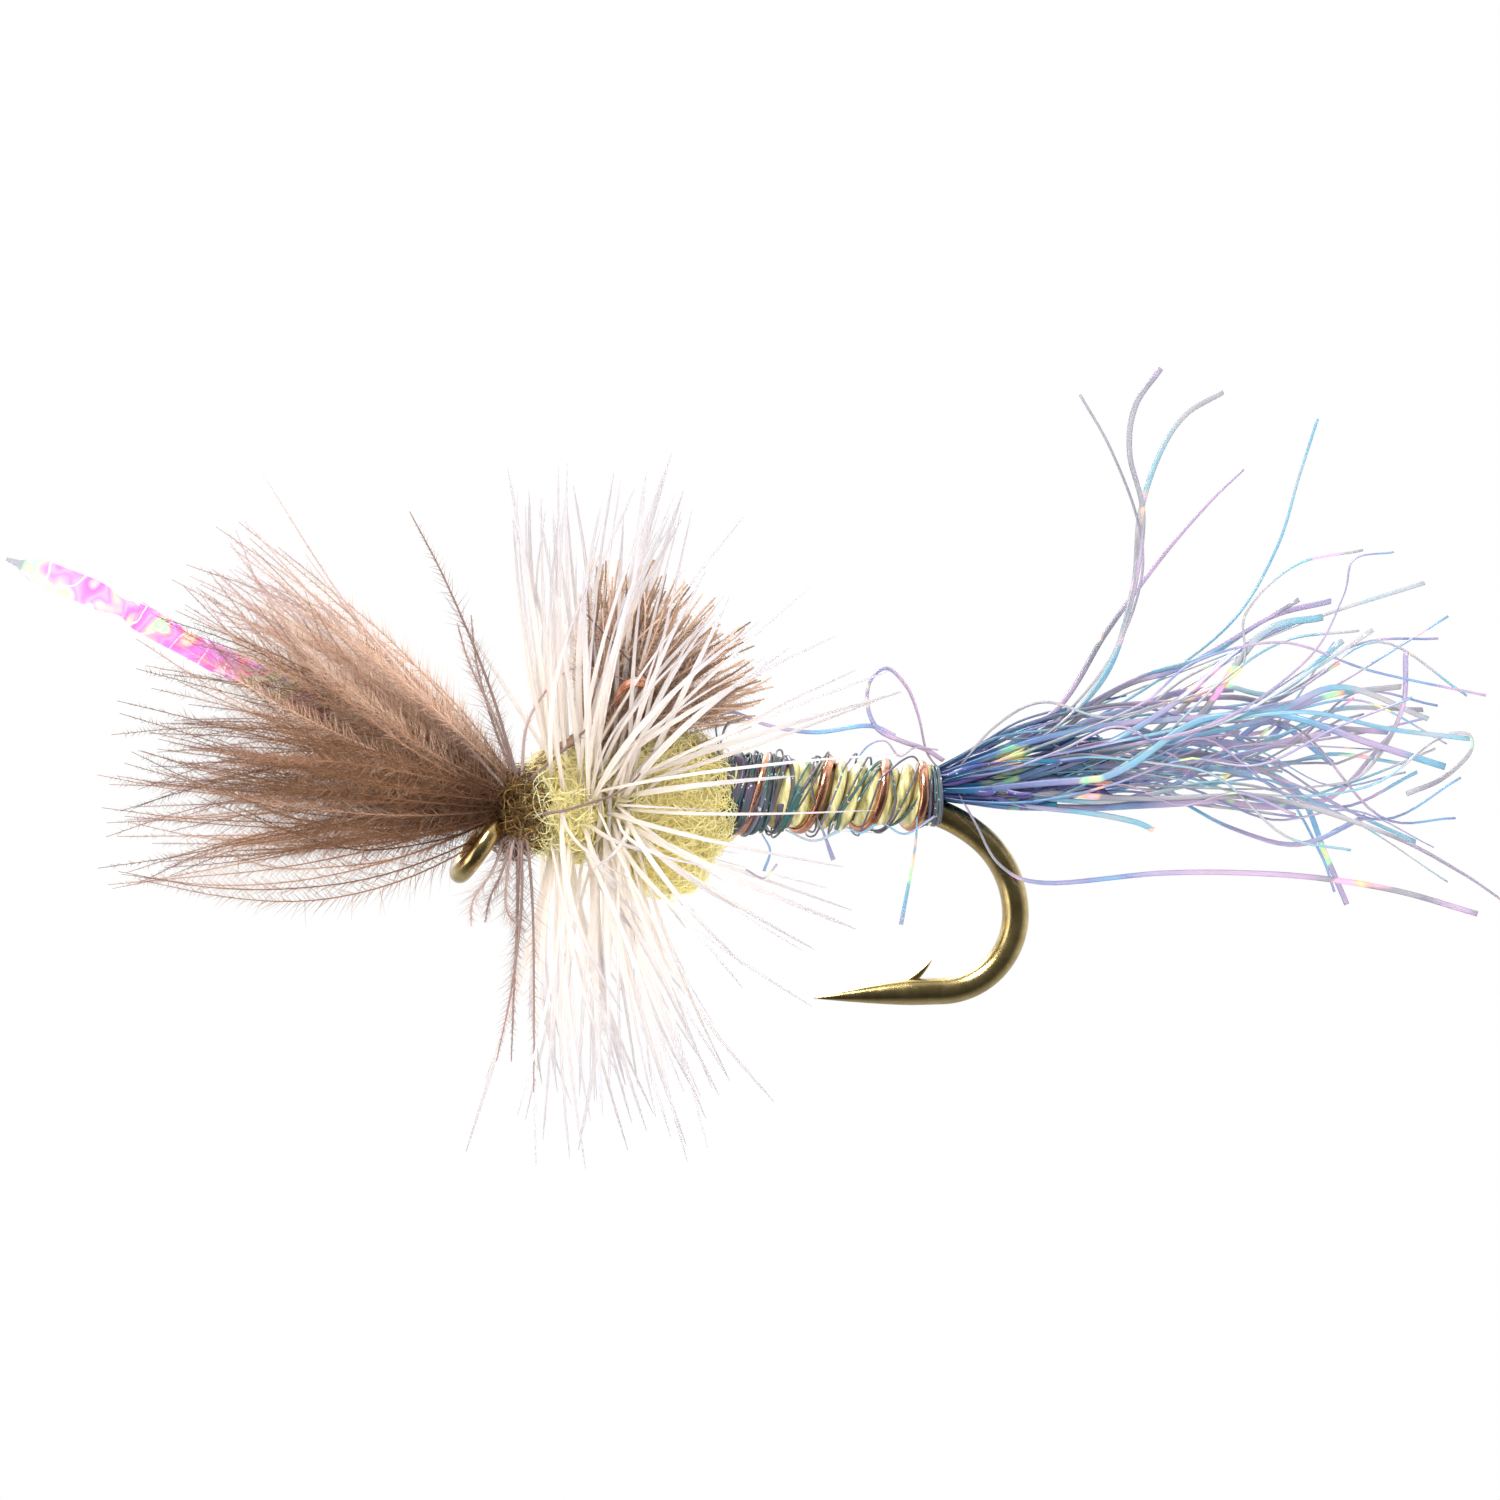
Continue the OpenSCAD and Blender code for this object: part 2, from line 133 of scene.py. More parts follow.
class Strands:
    """Collects closed tubes and spikes into one mesh. Each vertex keeps its strand's tone and its place along it."""

    def __init__(self):
        self.points, self.loops, self.sizes = [], [], []
        self.tone, self.along = [], []
        self.count = 0

    def _add(self, points, polygons, tone, along):
        """polygons is a list of (k, size) arrays of indices into points."""
        self.points.append(points)
        for polygon in polygons:
            self.loops.append((polygon + self.count).ravel())
            self.sizes.append(np.full(len(polygon), polygon.shape[1]))
        self.tone.append(tone)
        self.along.append(along)
        self.count += len(points)

    def tubes(self, paths, wide, thick=None, sides=5, tone=0.5, twist=0.0, first=None):
        """Tubes along (m, n, 3) paths. wide and thick are the half-axes, of a shape that fits (m, n)."""
        paths = np.asarray(paths, float)
        if paths.ndim == 2:
            paths = paths[None]
        m, n = paths.shape[:2]
        wide = np.broadcast_to(wide, (m, n))
        thick = wide if thick is None else np.broadcast_to(thick, (m, n))
        turn = np.broadcast_to(twist, (m, n))[..., None]
        _, a, b = path_frames(paths, first)
        side = np.arange(sides) * TAU / sides
        u, v = wide[..., None] * np.cos(side), thick[..., None] * np.sin(side)
        x, y = u * np.cos(turn) - v * np.sin(turn), u * np.sin(turn) + v * np.cos(turn)
        points = paths[:, :, None] + x[..., None] * a[:, :, None] + y[..., None] * b[:, :, None]
        start = (np.arange(m) * n * sides)[:, None, None]
        ring = (np.arange(n - 1) * sides)[None, :, None]
        k = np.arange(sides)[None, None, :]
        here, there = start + ring + k, start + ring + (k + 1) % sides
        walls = np.stack([here, there, there + sides, here + sides], -1).reshape(-1, 4)
        k = np.arange(sides)
        base = np.arange(m)[:, None] * n * sides
        caps = np.concatenate([base + k[::-1], base + (n - 1) * sides + k])
        tone = np.repeat(np.broadcast_to(tone, m), n * sides)
        along = np.tile(np.repeat(np.linspace(0, 1, n), sides), m)
        self._add(points.reshape(-1, 3), [walls, caps], tone, along)

    def spikes(self, base, tip, radius, tone, along):
        """Closed three-sided needles from base to tip, both (m, 3)."""
        way = unit(tip - base)
        a = unit(np.cross(way, unit(np.roll(way, 1, -1) + [0.3, 0.1, 0.2])))
        b = np.cross(way, a)
        radius = np.broadcast_to(radius, len(base))[:, None]
        foot = [base + radius * (math.cos(q) * a + math.sin(q) * b) for q in (0, TAU / 3, 2 * TAU / 3)]
        points = np.stack([*foot, tip], 1).reshape(-1, 3)
        i = np.arange(len(base))[:, None] * 4
        sides = np.concatenate([i + [0, 1, 3], i + [1, 2, 3], i + [2, 0, 3], i + [2, 1, 0]])
        self._add(points, [sides], np.repeat(np.broadcast_to(tone, len(base)), 4),
                  np.repeat(np.broadcast_to(along, len(base)), 4))

    def piece(self, name, material, replaces=(), smooth=True):
        """Makes the object, rides it on the body and hides the CAD nodes it stands for."""
        mesh = bpy.data.meshes.new(name)
        points = np.concatenate(self.points) * MM
        loops, sizes = np.concatenate(self.loops), np.concatenate(self.sizes)
        mesh.vertices.add(len(points))
        mesh.vertices.foreach_set("co", points.astype(np.float32).ravel())
        mesh.loops.add(len(loops))
        mesh.loops.foreach_set("vertex_index", loops.astype(np.int32))
        mesh.polygons.add(len(sizes))
        mesh.polygons.foreach_set("loop_start", np.concatenate([[0], np.cumsum(sizes)[:-1]]).astype(np.int32))
        mesh.polygons.foreach_set("use_smooth", np.full(len(sizes), smooth))
        for key, values in (("tone", self.tone), ("along", self.along)):
            mesh.attributes.new(key, "FLOAT", "POINT").data.foreach_set(
                "value", np.concatenate(values).astype(np.float32))
        mesh.update(calc_edges=True)
        mesh.validate()
        ob = bpy.data.objects.new(name, mesh)
        bpy.context.scene.collection.objects.link(ob)
        mesh.materials.append(material)
        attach(ob, BODY)
        if replaces:
            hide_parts(*replaces)
        return ob


# ---- materials ----


class Nodes:
    """A short way to write a material's nodes. Colours are (r, g, b), linear."""

    def __init__(self, name):
        self.material = bpy.data.materials.new(name)
        self.material.use_nodes = True
        self.tree = self.material.node_tree
        self.tree.nodes.clear()
        self.output = self.add("ShaderNodeOutputMaterial")

    def add(self, kind, **values):
        node = self.tree.nodes.new(kind)
        for key, value in values.items():
            if hasattr(node, key):
                setattr(node, key, value)
            else:
                node.inputs[key.replace("_", " ")].default_value = value
        return node

    def link(self, source, target):
        self.tree.links.new(source, target)

    def attribute(self, name):
        return self.add("ShaderNodeAttribute", attribute_name=name).outputs["Fac"]

    def noise(self, per_mm, detail=3.0, stretch=(1, 1, 1), roughness=0.55):
        """Noise of the object's own space, with per_mm features to the millimetre."""
        place = self.add("ShaderNodeTexCoord").outputs["Object"]
        mapping = self.add("ShaderNodeMapping")
        mapping.inputs["Scale"].default_value = [s * per_mm / MM for s in stretch]
        self.link(place, mapping.inputs["Vector"])
        node = self.add("ShaderNodeTexNoise", Scale=1.0, Detail=detail, Roughness=roughness)
        self.link(mapping.outputs["Vector"], node.inputs["Vector"])
        return node.outputs["Fac"]

    def math(self, operation, a, b):
        node = self.add("ShaderNodeMath", operation=operation)
        for socket, value in zip(node.inputs, (a, b)):
            if isinstance(value, (int, float)):
                socket.default_value = value
            else:
                self.link(value, socket)
        return node.outputs[0]

    def ramp(self, factor, *stops, interpolation="LINEAR"):
        """stops are (place, colour)."""
        node = self.add("ShaderNodeValToRGB")
        node.color_ramp.interpolation = interpolation
        elements = node.color_ramp.elements
        while len(elements) < len(stops):
            elements.new(0.5)
        for element, (place, colour) in zip(elements, stops):
            element.position = place
            element.color = (*colour, 1)
        self.link(factor, node.inputs["Fac"])
        return node.outputs["Color"]

    def mix(self, factor, a, b, blend="MIX"):
        node = self.add("ShaderNodeMix", data_type="RGBA", blend_type=blend)
        sockets = [s for s in node.inputs if s.enabled]
        for socket, value in zip(sockets, (factor, a, b)):
            if isinstance(value, (int, float)):
                socket.default_value = value
            elif isinstance(value, tuple):
                socket.default_value = (*value, 1)
            else:
                self.link(value, socket)
        return next(s for s in node.outputs if s.enabled)

    def span(self, factor, low, high):
        """factor, 0 to 1, mapped to low to high."""
        node = self.add("ShaderNodeMapRange")
        node.inputs["To Min"].default_value = low
        node.inputs["To Max"].default_value = high
        self.link(factor, node.inputs["Value"])
        return node.outputs["Result"]

    def bump(self, height, strength, depth_mm):
        node = self.add("ShaderNodeBump", Strength=strength, Distance=depth_mm * MM)
        self.link(height, node.inputs["Height"])
        return node.outputs["Normal"]

    def principled(self, colour, roughness, normal=None, **values):
        node = self.add("ShaderNodeBsdfPrincipled", **values)
        self.link(colour, node.inputs["Base Color"])
        if isinstance(roughness, (int, float)):
            node.inputs["Roughness"].default_value = roughness
        else:
            self.link(roughness, node.inputs["Roughness"])
        if normal is not None:
            self.link(normal, node.inputs["Normal"])
        return node

    def finish(self, shader):
        self.link(shader.outputs[0], self.output.inputs["Surface"])
        return self.material

    def with_glow_through(self, shader, colour, share):
        """Mixes in light that passes through a thin fibre."""
        through = self.add("ShaderNodeBsdfTranslucent")
        self.link(colour, through.inputs["Color"])
        node = self.add("ShaderNodeMixShader")
        node.inputs["Fac"].default_value = share
        self.link(shader.outputs[0], node.inputs[1])
        self.link(through.outputs[0], node.inputs[2])
        return node


def bronze():
    n = Nodes("hook_bronze")
    patches = n.noise(3.0, 4)
    fine = n.noise(28.0, 3)
    colour = n.ramp(patches, (0.3, (0.38, 0.28, 0.10)), (0.55, (0.58, 0.44, 0.175)), (0.8, (0.78, 0.61, 0.28)))
    flecks = n.ramp(n.noise(16.0, 2), (0.66, (0, 0, 0)), (0.72, (1, 1, 1)))
    colour = n.mix(flecks, colour, (0.75, 0.56, 0.20))
    roughness = n.span(n.noise(9.0, 4), 0.15, 0.34)
    shader = n.principled(colour, roughness, n.bump(fine, 0.2, 0.004), Metallic=1.0,
                          Coat_Weight=0.8, Coat_Roughness=0.06)
    return n.finish(shader)


def copper():
    n = Nodes("copper")
    colour = n.ramp(n.noise(6.0), (0.3, (0.64, 0.26, 0.15)), (0.7, (0.99, 0.54, 0.37)))
    roughness = n.span(n.noise(14.0), 0.14, 0.28)
    return n.finish(n.principled(colour, roughness, n.bump(n.noise(20.0), 0.15, 0.004), Metallic=1.0))


def film(name, stops, shaded_root=False, patch=1.2, roughness=0.22, painted_sparkle=False):
    """Iridescent flash: the colour wanders along each strand, with painted glints: small bright patches of other hues
    that stand in for highlights. It can also paint shade towards the root of each strand, and tiny painted highlight
    specks.
    """
    n = Nodes(name)
    wander = n.math("ADD", n.math("MULTIPLY", n.noise(patch, 1.0, (0.5, 0.35, 0.35)), 0.9), n.attribute("tone"))
    hue = n.math("FRACT", wander, 0)
    colour = n.ramp(hue, *stops)
    # painted glints: bright patches of other hues painted into the colour as highlights
    painted_glint_mask = n.ramp(n.noise(1.5, 2.0, (0.7, 1, 1)), (0.63, (0, 0, 0)), (0.67, (1, 1, 1)))
    painted_glint_colour = n.ramp(n.noise(1.7, 1.0), (0.35, (0.95, 0.85, 0.35)), (0.45, (0.45, 0.9, 0.5)),
                          (0.55, (1.0, 0.55, 0.35)), (0.65, (0.95, 0.45, 0.75)))
    colour = n.mix(n.math("MULTIPLY", painted_glint_mask, 0.9), colour, painted_glint_colour)
    if shaded_root:
        # painted shade: each strand's colour is darkened towards its root
        painted_root_shade = n.ramp(n.attribute("along"), (0.0, (0.03, 0.10, 0.22)), (0.12, (0.12, 0.32, 0.52)),
                       (0.26, (0.5, 0.68, 0.86)), (0.45, (1, 1, 1)))
        colour = n.mix(1.0, colour, painted_root_shade, "MULTIPLY")
    if painted_sparkle:
        # painted highlights: tiny bright sparkle specks painted into the colour
        painted_sparkle_mask = n.ramp(n.noise(13.0, 1.0), (0.68, (0, 0, 0)), (0.72, (1, 1, 1)))
        painted_sparkle_colour = n.ramp(n.noise(5.0, 1.0), (0.4, (0.2, 0.9, 0.7)), (0.5, (0.6, 0.8, 1.0)),
                              (0.6, (1.0, 0.7, 0.4)))
        colour = n.mix(painted_sparkle_mask, colour, painted_sparkle_colour)
    shader = n.principled(colour, roughness, n.bump(n.noise(4.0, 1.0), 0.08, 0.01),
                          Coat_Weight=0.6, Coat_Roughness=0.12)
    return n.finish(n.with_glow_through(shader, colour, 0.4))


# The hues of the film, round one full cycle
TAIL_STOPS = (
    (0.0, (0.31, 0.34, 0.52)), (0.12, (0.46, 0.37, 0.52)), (0.22, (0.22, 0.42, 0.56)),
    (0.31, (0.26, 0.46, 0.54)), (0.42, (0.47, 0.45, 0.48)), (0.58, (0.29, 0.29, 0.34)),
    (0.7, (0.52, 0.40, 0.54)), (0.82, (0.24, 0.29, 0.48)), (0.92, (0.24, 0.46, 0.62)),
    (1.0, (0.31, 0.34, 0.52)),
)
DARK_STOPS = (
    (0.0, (0.04, 0.12, 0.12)), (0.2, (0.12, 0.10, 0.12)), (0.4, (0.03, 0.20, 0.17)),
    (0.55, (0.22, 0.20, 0.28)), (0.7, (0.10, 0.10, 0.08)), (0.85, (0.17, 0.12, 0.22)),
    (1.0, (0.04, 0.12, 0.12)),
)
ROOT_STOPS = (
    (0.0, (0.04, 0.10, 0.28)), (0.2, (0.12, 0.10, 0.34)), (0.4, (0.03, 0.20, 0.34)),
    (0.6, (0.05, 0.07, 0.22)), (0.8, (0.18, 0.14, 0.38)), (1.0, (0.03, 0.22, 0.30)),
)


def pearl():
    n = Nodes("pearl_strip")
    colour = n.ramp(n.noise(1.6, 1.5), (0.33, (0.96, 0.72, 0.60)), (0.40, (0.93, 0.24, 0.56)),
                    (0.46, (0.85, 0.33, 0.85)), (0.50, (0.80, 0.50, 0.90)), (0.54, (0.95, 0.34, 0.66)),
                    (0.58, (0.93, 0.56, 0.56)), (0.62, (0.50, 0.92, 0.62)), (0.65, (0.86, 0.93, 0.45)),
                    (0.72, (0.66, 0.85, 0.90)))
    creases = n.ramp(n.noise(1.9, 0.5), (0.485, (0, 0, 0)), (0.495, (1, 1, 1)), (0.505, (1, 1, 1)),
                     (0.515, (0, 0, 0)))
    colour = n.mix(creases, colour, (0.90, 0.86, 0.95))
    grey_tip = n.ramp(n.attribute("along"), (0.962, (0, 0, 0)), (0.968, (1, 1, 1)))
    colour = n.mix(grey_tip, colour, (0.44, 0.46, 0.48))
    shader = n.principled(colour, 0.18, n.bump(n.noise(5.0, 2.0), 0.4, 0.02), Coat_Weight=0.8, Coat_Roughness=0.08)
    return n.finish(n.with_glow_through(shader, colour, 0.5))


def quill():
    n = Nodes("quill")
    across_turns = (2.5, 0.6, 0.6)
    colour = n.ramp(n.noise(5.0, 4.0, across_turns), (0.32, (0.14, 0.11, 0.03)), (0.46, (0.38, 0.34, 0.13)),
                    (0.60, (0.54, 0.49, 0.24)), (0.78, (0.74, 0.70, 0.46)))
    grain = n.bump(n.noise(16.0, 4.0, across_turns), 0.4, 0.012)
    roughness = n.span(n.noise(12.0), 0.2, 0.4)
    return n.finish(n.principled(colour, roughness, grain, Coat_Weight=0.5, Coat_Roughness=0.15))


def fibre(name, dark, middle, light, through=0.25, roughness=0.6, along=None, sheen=0.25):
    """Matt natural fibre: each strand has its own tone, with a slow wander over it. through is its share of
    light from behind, and along multiplies the colour from root to tip."""
    n = Nodes(name)
    tone = n.math("ADD", n.math("MULTIPLY", n.attribute("tone"), 0.7),
                  n.math("MULTIPLY", n.noise(1.2, 3.0), 0.3))
    colour = n.ramp(tone, (0.1, dark), (0.5, middle), (0.9, light))
    if along is not None:
        colour = n.mix(1.0, colour, n.ramp(n.attribute("along"), *along), "MULTIPLY")
    shader = n.principled(colour, roughness, n.bump(n.noise(30.0, 2.0), 0.15, 0.004), Sheen_Weight=sheen)
    return n.finish(n.with_glow_through(shader, colour, through))


BRONZE = bronze()
COPPER = copper()
TAIL_FILM = film("shuck_flash", TAIL_STOPS, shaded_root=True)
LOOSE_FILM = film("shuck_flash_loose", TAIL_STOPS)
ROOT_FILM = film("shuck_flash_root", ROOT_STOPS, patch=2.0, painted_sparkle=True)
DARK_FILM = film("shuck_flash_dark", DARK_STOPS, patch=2.0, roughness=0.25, painted_sparkle=True)
PEARL = pearl()
QUILL = quill()
DUBBING = fibre("dubbing", (0.91, 0.83, 0.44), (0.98, 0.935, 0.62), (1.0, 0.98, 0.83), 0.75)
HACKLE = fibre("hackle", (0.84, 0.795, 0.765), (0.92, 0.885, 0.86), (0.98, 0.955, 0.93), 0.8, 0.3,
               along=((0.0, (1, 0.985, 0.94)), (0.45, (0.92, 0.915, 0.915)), (1.0, (0.68, 0.68, 0.73))))
CDC = fibre("cdc", (0.16, 0.07, 0.03), (0.50, 0.285, 0.155), (0.90, 0.75, 0.645), 0.6, 0.6, sheen=0.08,
            along=((0.0, (0.36, 0.22, 0.11)), (0.35, (1, 0.95, 0.90)), (0.75, (1, 1, 1)), (1.0, (0.66, 0.58, 0.70))))
CDC_BUTTS = fibre("cdc_butts", (0.28, 0.16, 0.09), (0.58, 0.40, 0.275), (0.92, 0.76, 0.65), 0.6, 0.6)
THREAD = fibre("thread", (0.06, 0.035, 0.012), (0.15, 0.095, 0.03), (0.30, 0.21, 0.08), 0.1, 0.4, sheen=0.0)
HEAD_FUR = fibre("head_fur", (0.035, 0.016, 0.005), (0.13, 0.062, 0.014), (0.36, 0.21, 0.055), 0.2, sheen=0.0)
CDC_LEGS = fibre("cdc_legs", (0.14, 0.08, 0.065), (0.42, 0.29, 0.25), (0.80, 0.66, 0.62), 0.5, 0.6)


# ---- hook ----


def arc(start, heading, radius, turn, count):
    """Points of a bend in the XZ plane; heading is in degrees below +X."""
    a = np.radians(np.linspace(heading, heading + turn, count))
    h = math.radians(heading)
    x = start[0] + radius * (np.sin(a) - math.sin(h))
    z = start[2] - radius * (math.cos(h) - np.cos(a))
    return np.stack([x, np.zeros(count), z], -1)[1:]


def build_hook():
    """One wire: it loops round to make the eye, runs along the shank and the bend, and tapers to the point."""
    wire_r, eye_wire_r = 0.2, 0.17
    ring_r = EYE_HOLE_R - 0.02 + eye_wire_r
    bend_x = 6.05
    up_rear = np.array([-EYE_AXIS[2], 0, EYE_AXIS[0]])
    side = np.array([0, 1.0, 0])
    loop_angles = np.radians(np.linspace(338, 52, 56))
    loop = [ring_r * (math.cos(q) * up_rear + math.sin(q) * side) for q in loop_angles]
    neck = [up_rear * (ring_r + 0.02) + [-0.01, 0.06, 0.01], [0.44, 0.01, SHANK_Z - 0.035], [0.62, 0, SHANK_Z]]
    start = smooth_path([loop[-2], loop[-1], *neck], 25)[7:]
    shank = [[x, 0, SHANK_Z] for x in np.linspace(0.7, bend_x, 12)]
    bend = [shank[-1]]
    for heading, radius, turn in ((0, 2.2, 40), (40, 1.5, 50), (90, 1.14, 90)):
        bend.extend(arc(bend[-1], heading, radius, turn, int(turn / 2.5) + 1))
    heel = bend[-1]
    spear_len, point_len = 0.42, 1.5
    run = np.linspace(0.06, spear_len + point_len, 30)
    taper = np.clip((run - spear_len) / point_len, 0, 1)
    spear_r = wire_r * np.clip(1 - taper**1.35, 0.04, 1)
    spear = [heel - [x, 0, 0.3 * (wire_r - r)] for x, r in zip(run, spear_r)]
    path = np.array([*loop, *start, *shank, *bend[1:], *spear])
    radius = np.full(len(path), wire_r)
    ends = len(loop)
    radius[:ends] = np.linspace(0.13, eye_wire_r, ends)
    grow = len(start) + 3
    radius[ends : ends + grow] = np.linspace(eye_wire_r, wire_r, grow)
    radius[-len(run) :] = spear_r
    hook = Strands()
    hook.tubes(path, radius, sides=28)
    root = heel + [-spear_len - 0.02, 0, wire_r * 0.35]
    barb = smooth_path(root + np.array([[-0.2, 0, -0.03], [-0.02, 0, 0.10], [0.15, 0, 0.24], [0.30, 0, 0.39]]), 12)
    shape = np.linspace(1, 0, 12)
    hook.tubes(barb, 0.08 * shape**0.6 + 0.006, 0.10 * shape**0.75 + 0.004, sides=14)
    return hook.piece("hook_wire", BRONZE, ["hook"])


# ---- abdomen ----


class BodyFrame:
    """The abdomen's own axis, from the thorax to the tail, with its radius at each end."""

    def __init__(self):
        self.x0, self.x1 = ABDOMEN_LOW[0] + 0.02, ABDOMEN_HIGH[0]
        self.z0, self.z1 = SHANK_Z + 0.23, SHANK_Z + 0.10
        self.r0 = 0.52
        self.r1 = 0.40

    def at(self, t, angle, lift=0.0):
        """Point at t, 0 to 1 along the abdomen, angle round it, lift above its surface."""
        r = self.r0 + (self.r1 - self.r0) * t + lift
        x = self.x0 + (self.x1 - self.x0) * t
        z = self.z0 + (self.z1 - self.z0) * t
        return np.stack([x, r * np.sin(angle), z + r * np.cos(angle)], -1)


ABDOMEN = BodyFrame()


def wound(t0, t1, turns, phase, lift, steps=44, wobble=0.0, lean=0.0):
    """Path of a strand wound on the abdomen. lean tips each turn, so its top lies nearer the tail."""
    count = int(turns * steps)
    s = np.linspace(0, 1, count)
    angle = phase + TAU * turns * s
    t = t0 + (t1 - t0) * s + lean * np.cos(angle)
    if wobble:
        knots = rng.normal(0, wobble, int(turns * 3) + 2)
        t = t + np.interp(s, np.linspace(0, 1, len(knots)), knots)
    return ABDOMEN.at(np.clip(t, -0.02, 1.03), angle, lift)


def build_abdomen():
    turns = 13.5
    count = int(turns * 52)
    s = np.linspace(0, 1, count)
    path = wound(0.0, 1.0, turns, 0.4, -0.075, 52, 0.004, 0.02)
    pulse = 1 + 0.10 * np.sin(s * 61) + 0.06 * np.sin(s * 23)
    quill_strand = Strands()
    outward = ABDOMEN.at(0, 0.4, 0) - ABDOMEN.at(0, 0.4, -1)
    quill_strand.tubes(path, 0.095, 0.145 * pulse, sides=12, first=outward[None])
    core = Strands()
    ts = np.linspace(0, 1, 24)
    spine = np.stack([ABDOMEN.x0 + (ABDOMEN.x1 - ABDOMEN.x0) * ts, ts * 0,
                      ABDOMEN.z0 + (ABDOMEN.z1 - ABDOMEN.z0) * ts], -1)
    core.tubes(spine, 0.43 + (0.31 - 0.43) * ts, sides=28)
    core.piece("abdomen_under_wrap", THREAD)
    quill_strand.piece("quill_wraps", QUILL, ["abdomen_quill"])

    rib = Strands()
    turn = np.linspace(-0.9, 3.5, 280)
    angle = TAU * (turn + 0.75)
    t = np.interp(turn, (-1, 0, 1, 2, 3, 3.5), (-0.05, 0.216, 0.49, 0.763, 0.952, 0.985)) + 0.006 * np.sin(7.3 * turn)
    rib.tubes(ABDOMEN.at(t, angle, 0.05), 0.0775, sides=12)
    cut_end = smooth_path([(2.0, -0.6, 2.05), (2.1, -1.2, 2.32), (2.34, -1.3, 2.36), (2.5, -0.8, 2.2)], 14)
    rib.tubes(cut_end, 0.07, sides=12)
    rib.piece("copper_wire", COPPER, ["copper_rib"])

    flash = Strands()
    long_windings = ((0.03, 0.036, 0.04), (0.07, 0.026, 0.03), (0.10, 0.018, -0.05), (0.13, 0.018, 0.06),
                     (0.17, 0.014, 0.09))
    for lift, wide, lean in long_windings:
        t0, t1, turns, phase = (vary(1, *span)[0] for span in ((0.0, 0.1), (0.85, 1.0), (3, 4.2), (0, TAU)))
        path = wound(t0, t1, turns, phase, lift, 44, 0.045, lean)
        flash.tubes(path, wide, 0.016, sides=6, tone=vary(1, 0, 1)[0], twist=0.4)
    for _ in range(20):
        t0 = vary(1, -0.02, 0.18)[0]
        path = wound(t0, t0 + 0.18, vary(1, 1.5, 3)[0], vary(1, 0, TAU)[0], vary(1, 0.0, 0.10)[0], 30, 0.03, 0.03)
        flash.tubes(path, vary(1, 0.03, 0.07)[0], 0.014, sides=6, tone=vary(1, 0, 1)[0])
    flash.piece("flash_wraps", DARK_FILM, ["flash_rib"])

    lashing = Strands()
    for i in range(7):
        t0, lift = 0.965 + 0.012 * i, 0.03 - 0.006 * abs(i - 3)
        path = wound(t0, t0 + 0.02, 1.3, vary(1, 0, TAU)[0], lift, 40, 0.004)
        lashing.tubes(path, 0.035, 0.02, sides=6, tone=vary(1, 0, 1)[0])
    lashing.piece("tail_wraps", DARK_FILM, ["tail_lashing"])


# ---- tail ----


# The bundle's height and half thickness, at places along X
TAIL_X = (6.6, 7.0, 8.0, 9.3, 11.0, 12.3, 14.6, 15.2)
TAIL_CENTRE = (0.76, 0.78, 1.00, 1.26, 1.42, 1.50, 1.50, 1.45)
TAIL_HALF = (0.12, 0.20, 0.52, 0.74, 0.92, 1.18, 1.30, 1.35)


def tail_paths(count, reach_low, reach_high, samples, wander=1.0):
    """Strands from the tie-in through the bundle to their tips. Most keep their height, and some cross the bundle."""
    high = np.clip(rng.normal(-0.1, 0.55, count), -1, 1)
    drift = rng.normal(0, 0.35, count) * wander
    side = np.clip(rng.normal(0, 0.5, count), -1.1, 1.1)
    reach = vary(count, reach_low, reach_high)
    keys = []
    for f in (0.0, 0.08, 0.2, 0.36, 0.52, 0.68, 0.84, 1.0):
        x = 6.85 + (reach - 6.85) * f
        half = np.interp(x, TAIL_X, TAIL_HALF)
        level = np.clip(high + drift * (2 * f - 1) + rng.normal(0, 0.13 * wander, count) * f, -1.15, 1.15)
        z = np.interp(x, TAIL_X, TAIL_CENTRE) + level * half
        y = side * half * 1.15 + rng.normal(0, 0.10 * wander, count) * f
        keys.append(np.stack([x, y, z], -1))
    return smooth_path(np.stack(keys, 1), samples)


def kink(paths, amount):
    """Adds the sharp small bends of creased film."""
    m, n = paths.shape[:2]
    for i in range(m):
        for _ in range(rng.integers(0, 3)):
            k = rng.integers(n // 3, n - 3)
            bend = rng.normal(0, amount, 3) * [0.3, 1, 1]
            ramp = np.maximum(np.arange(n) - k, 0)[:, None] / n
            paths[i] += ramp * bend
    return paths


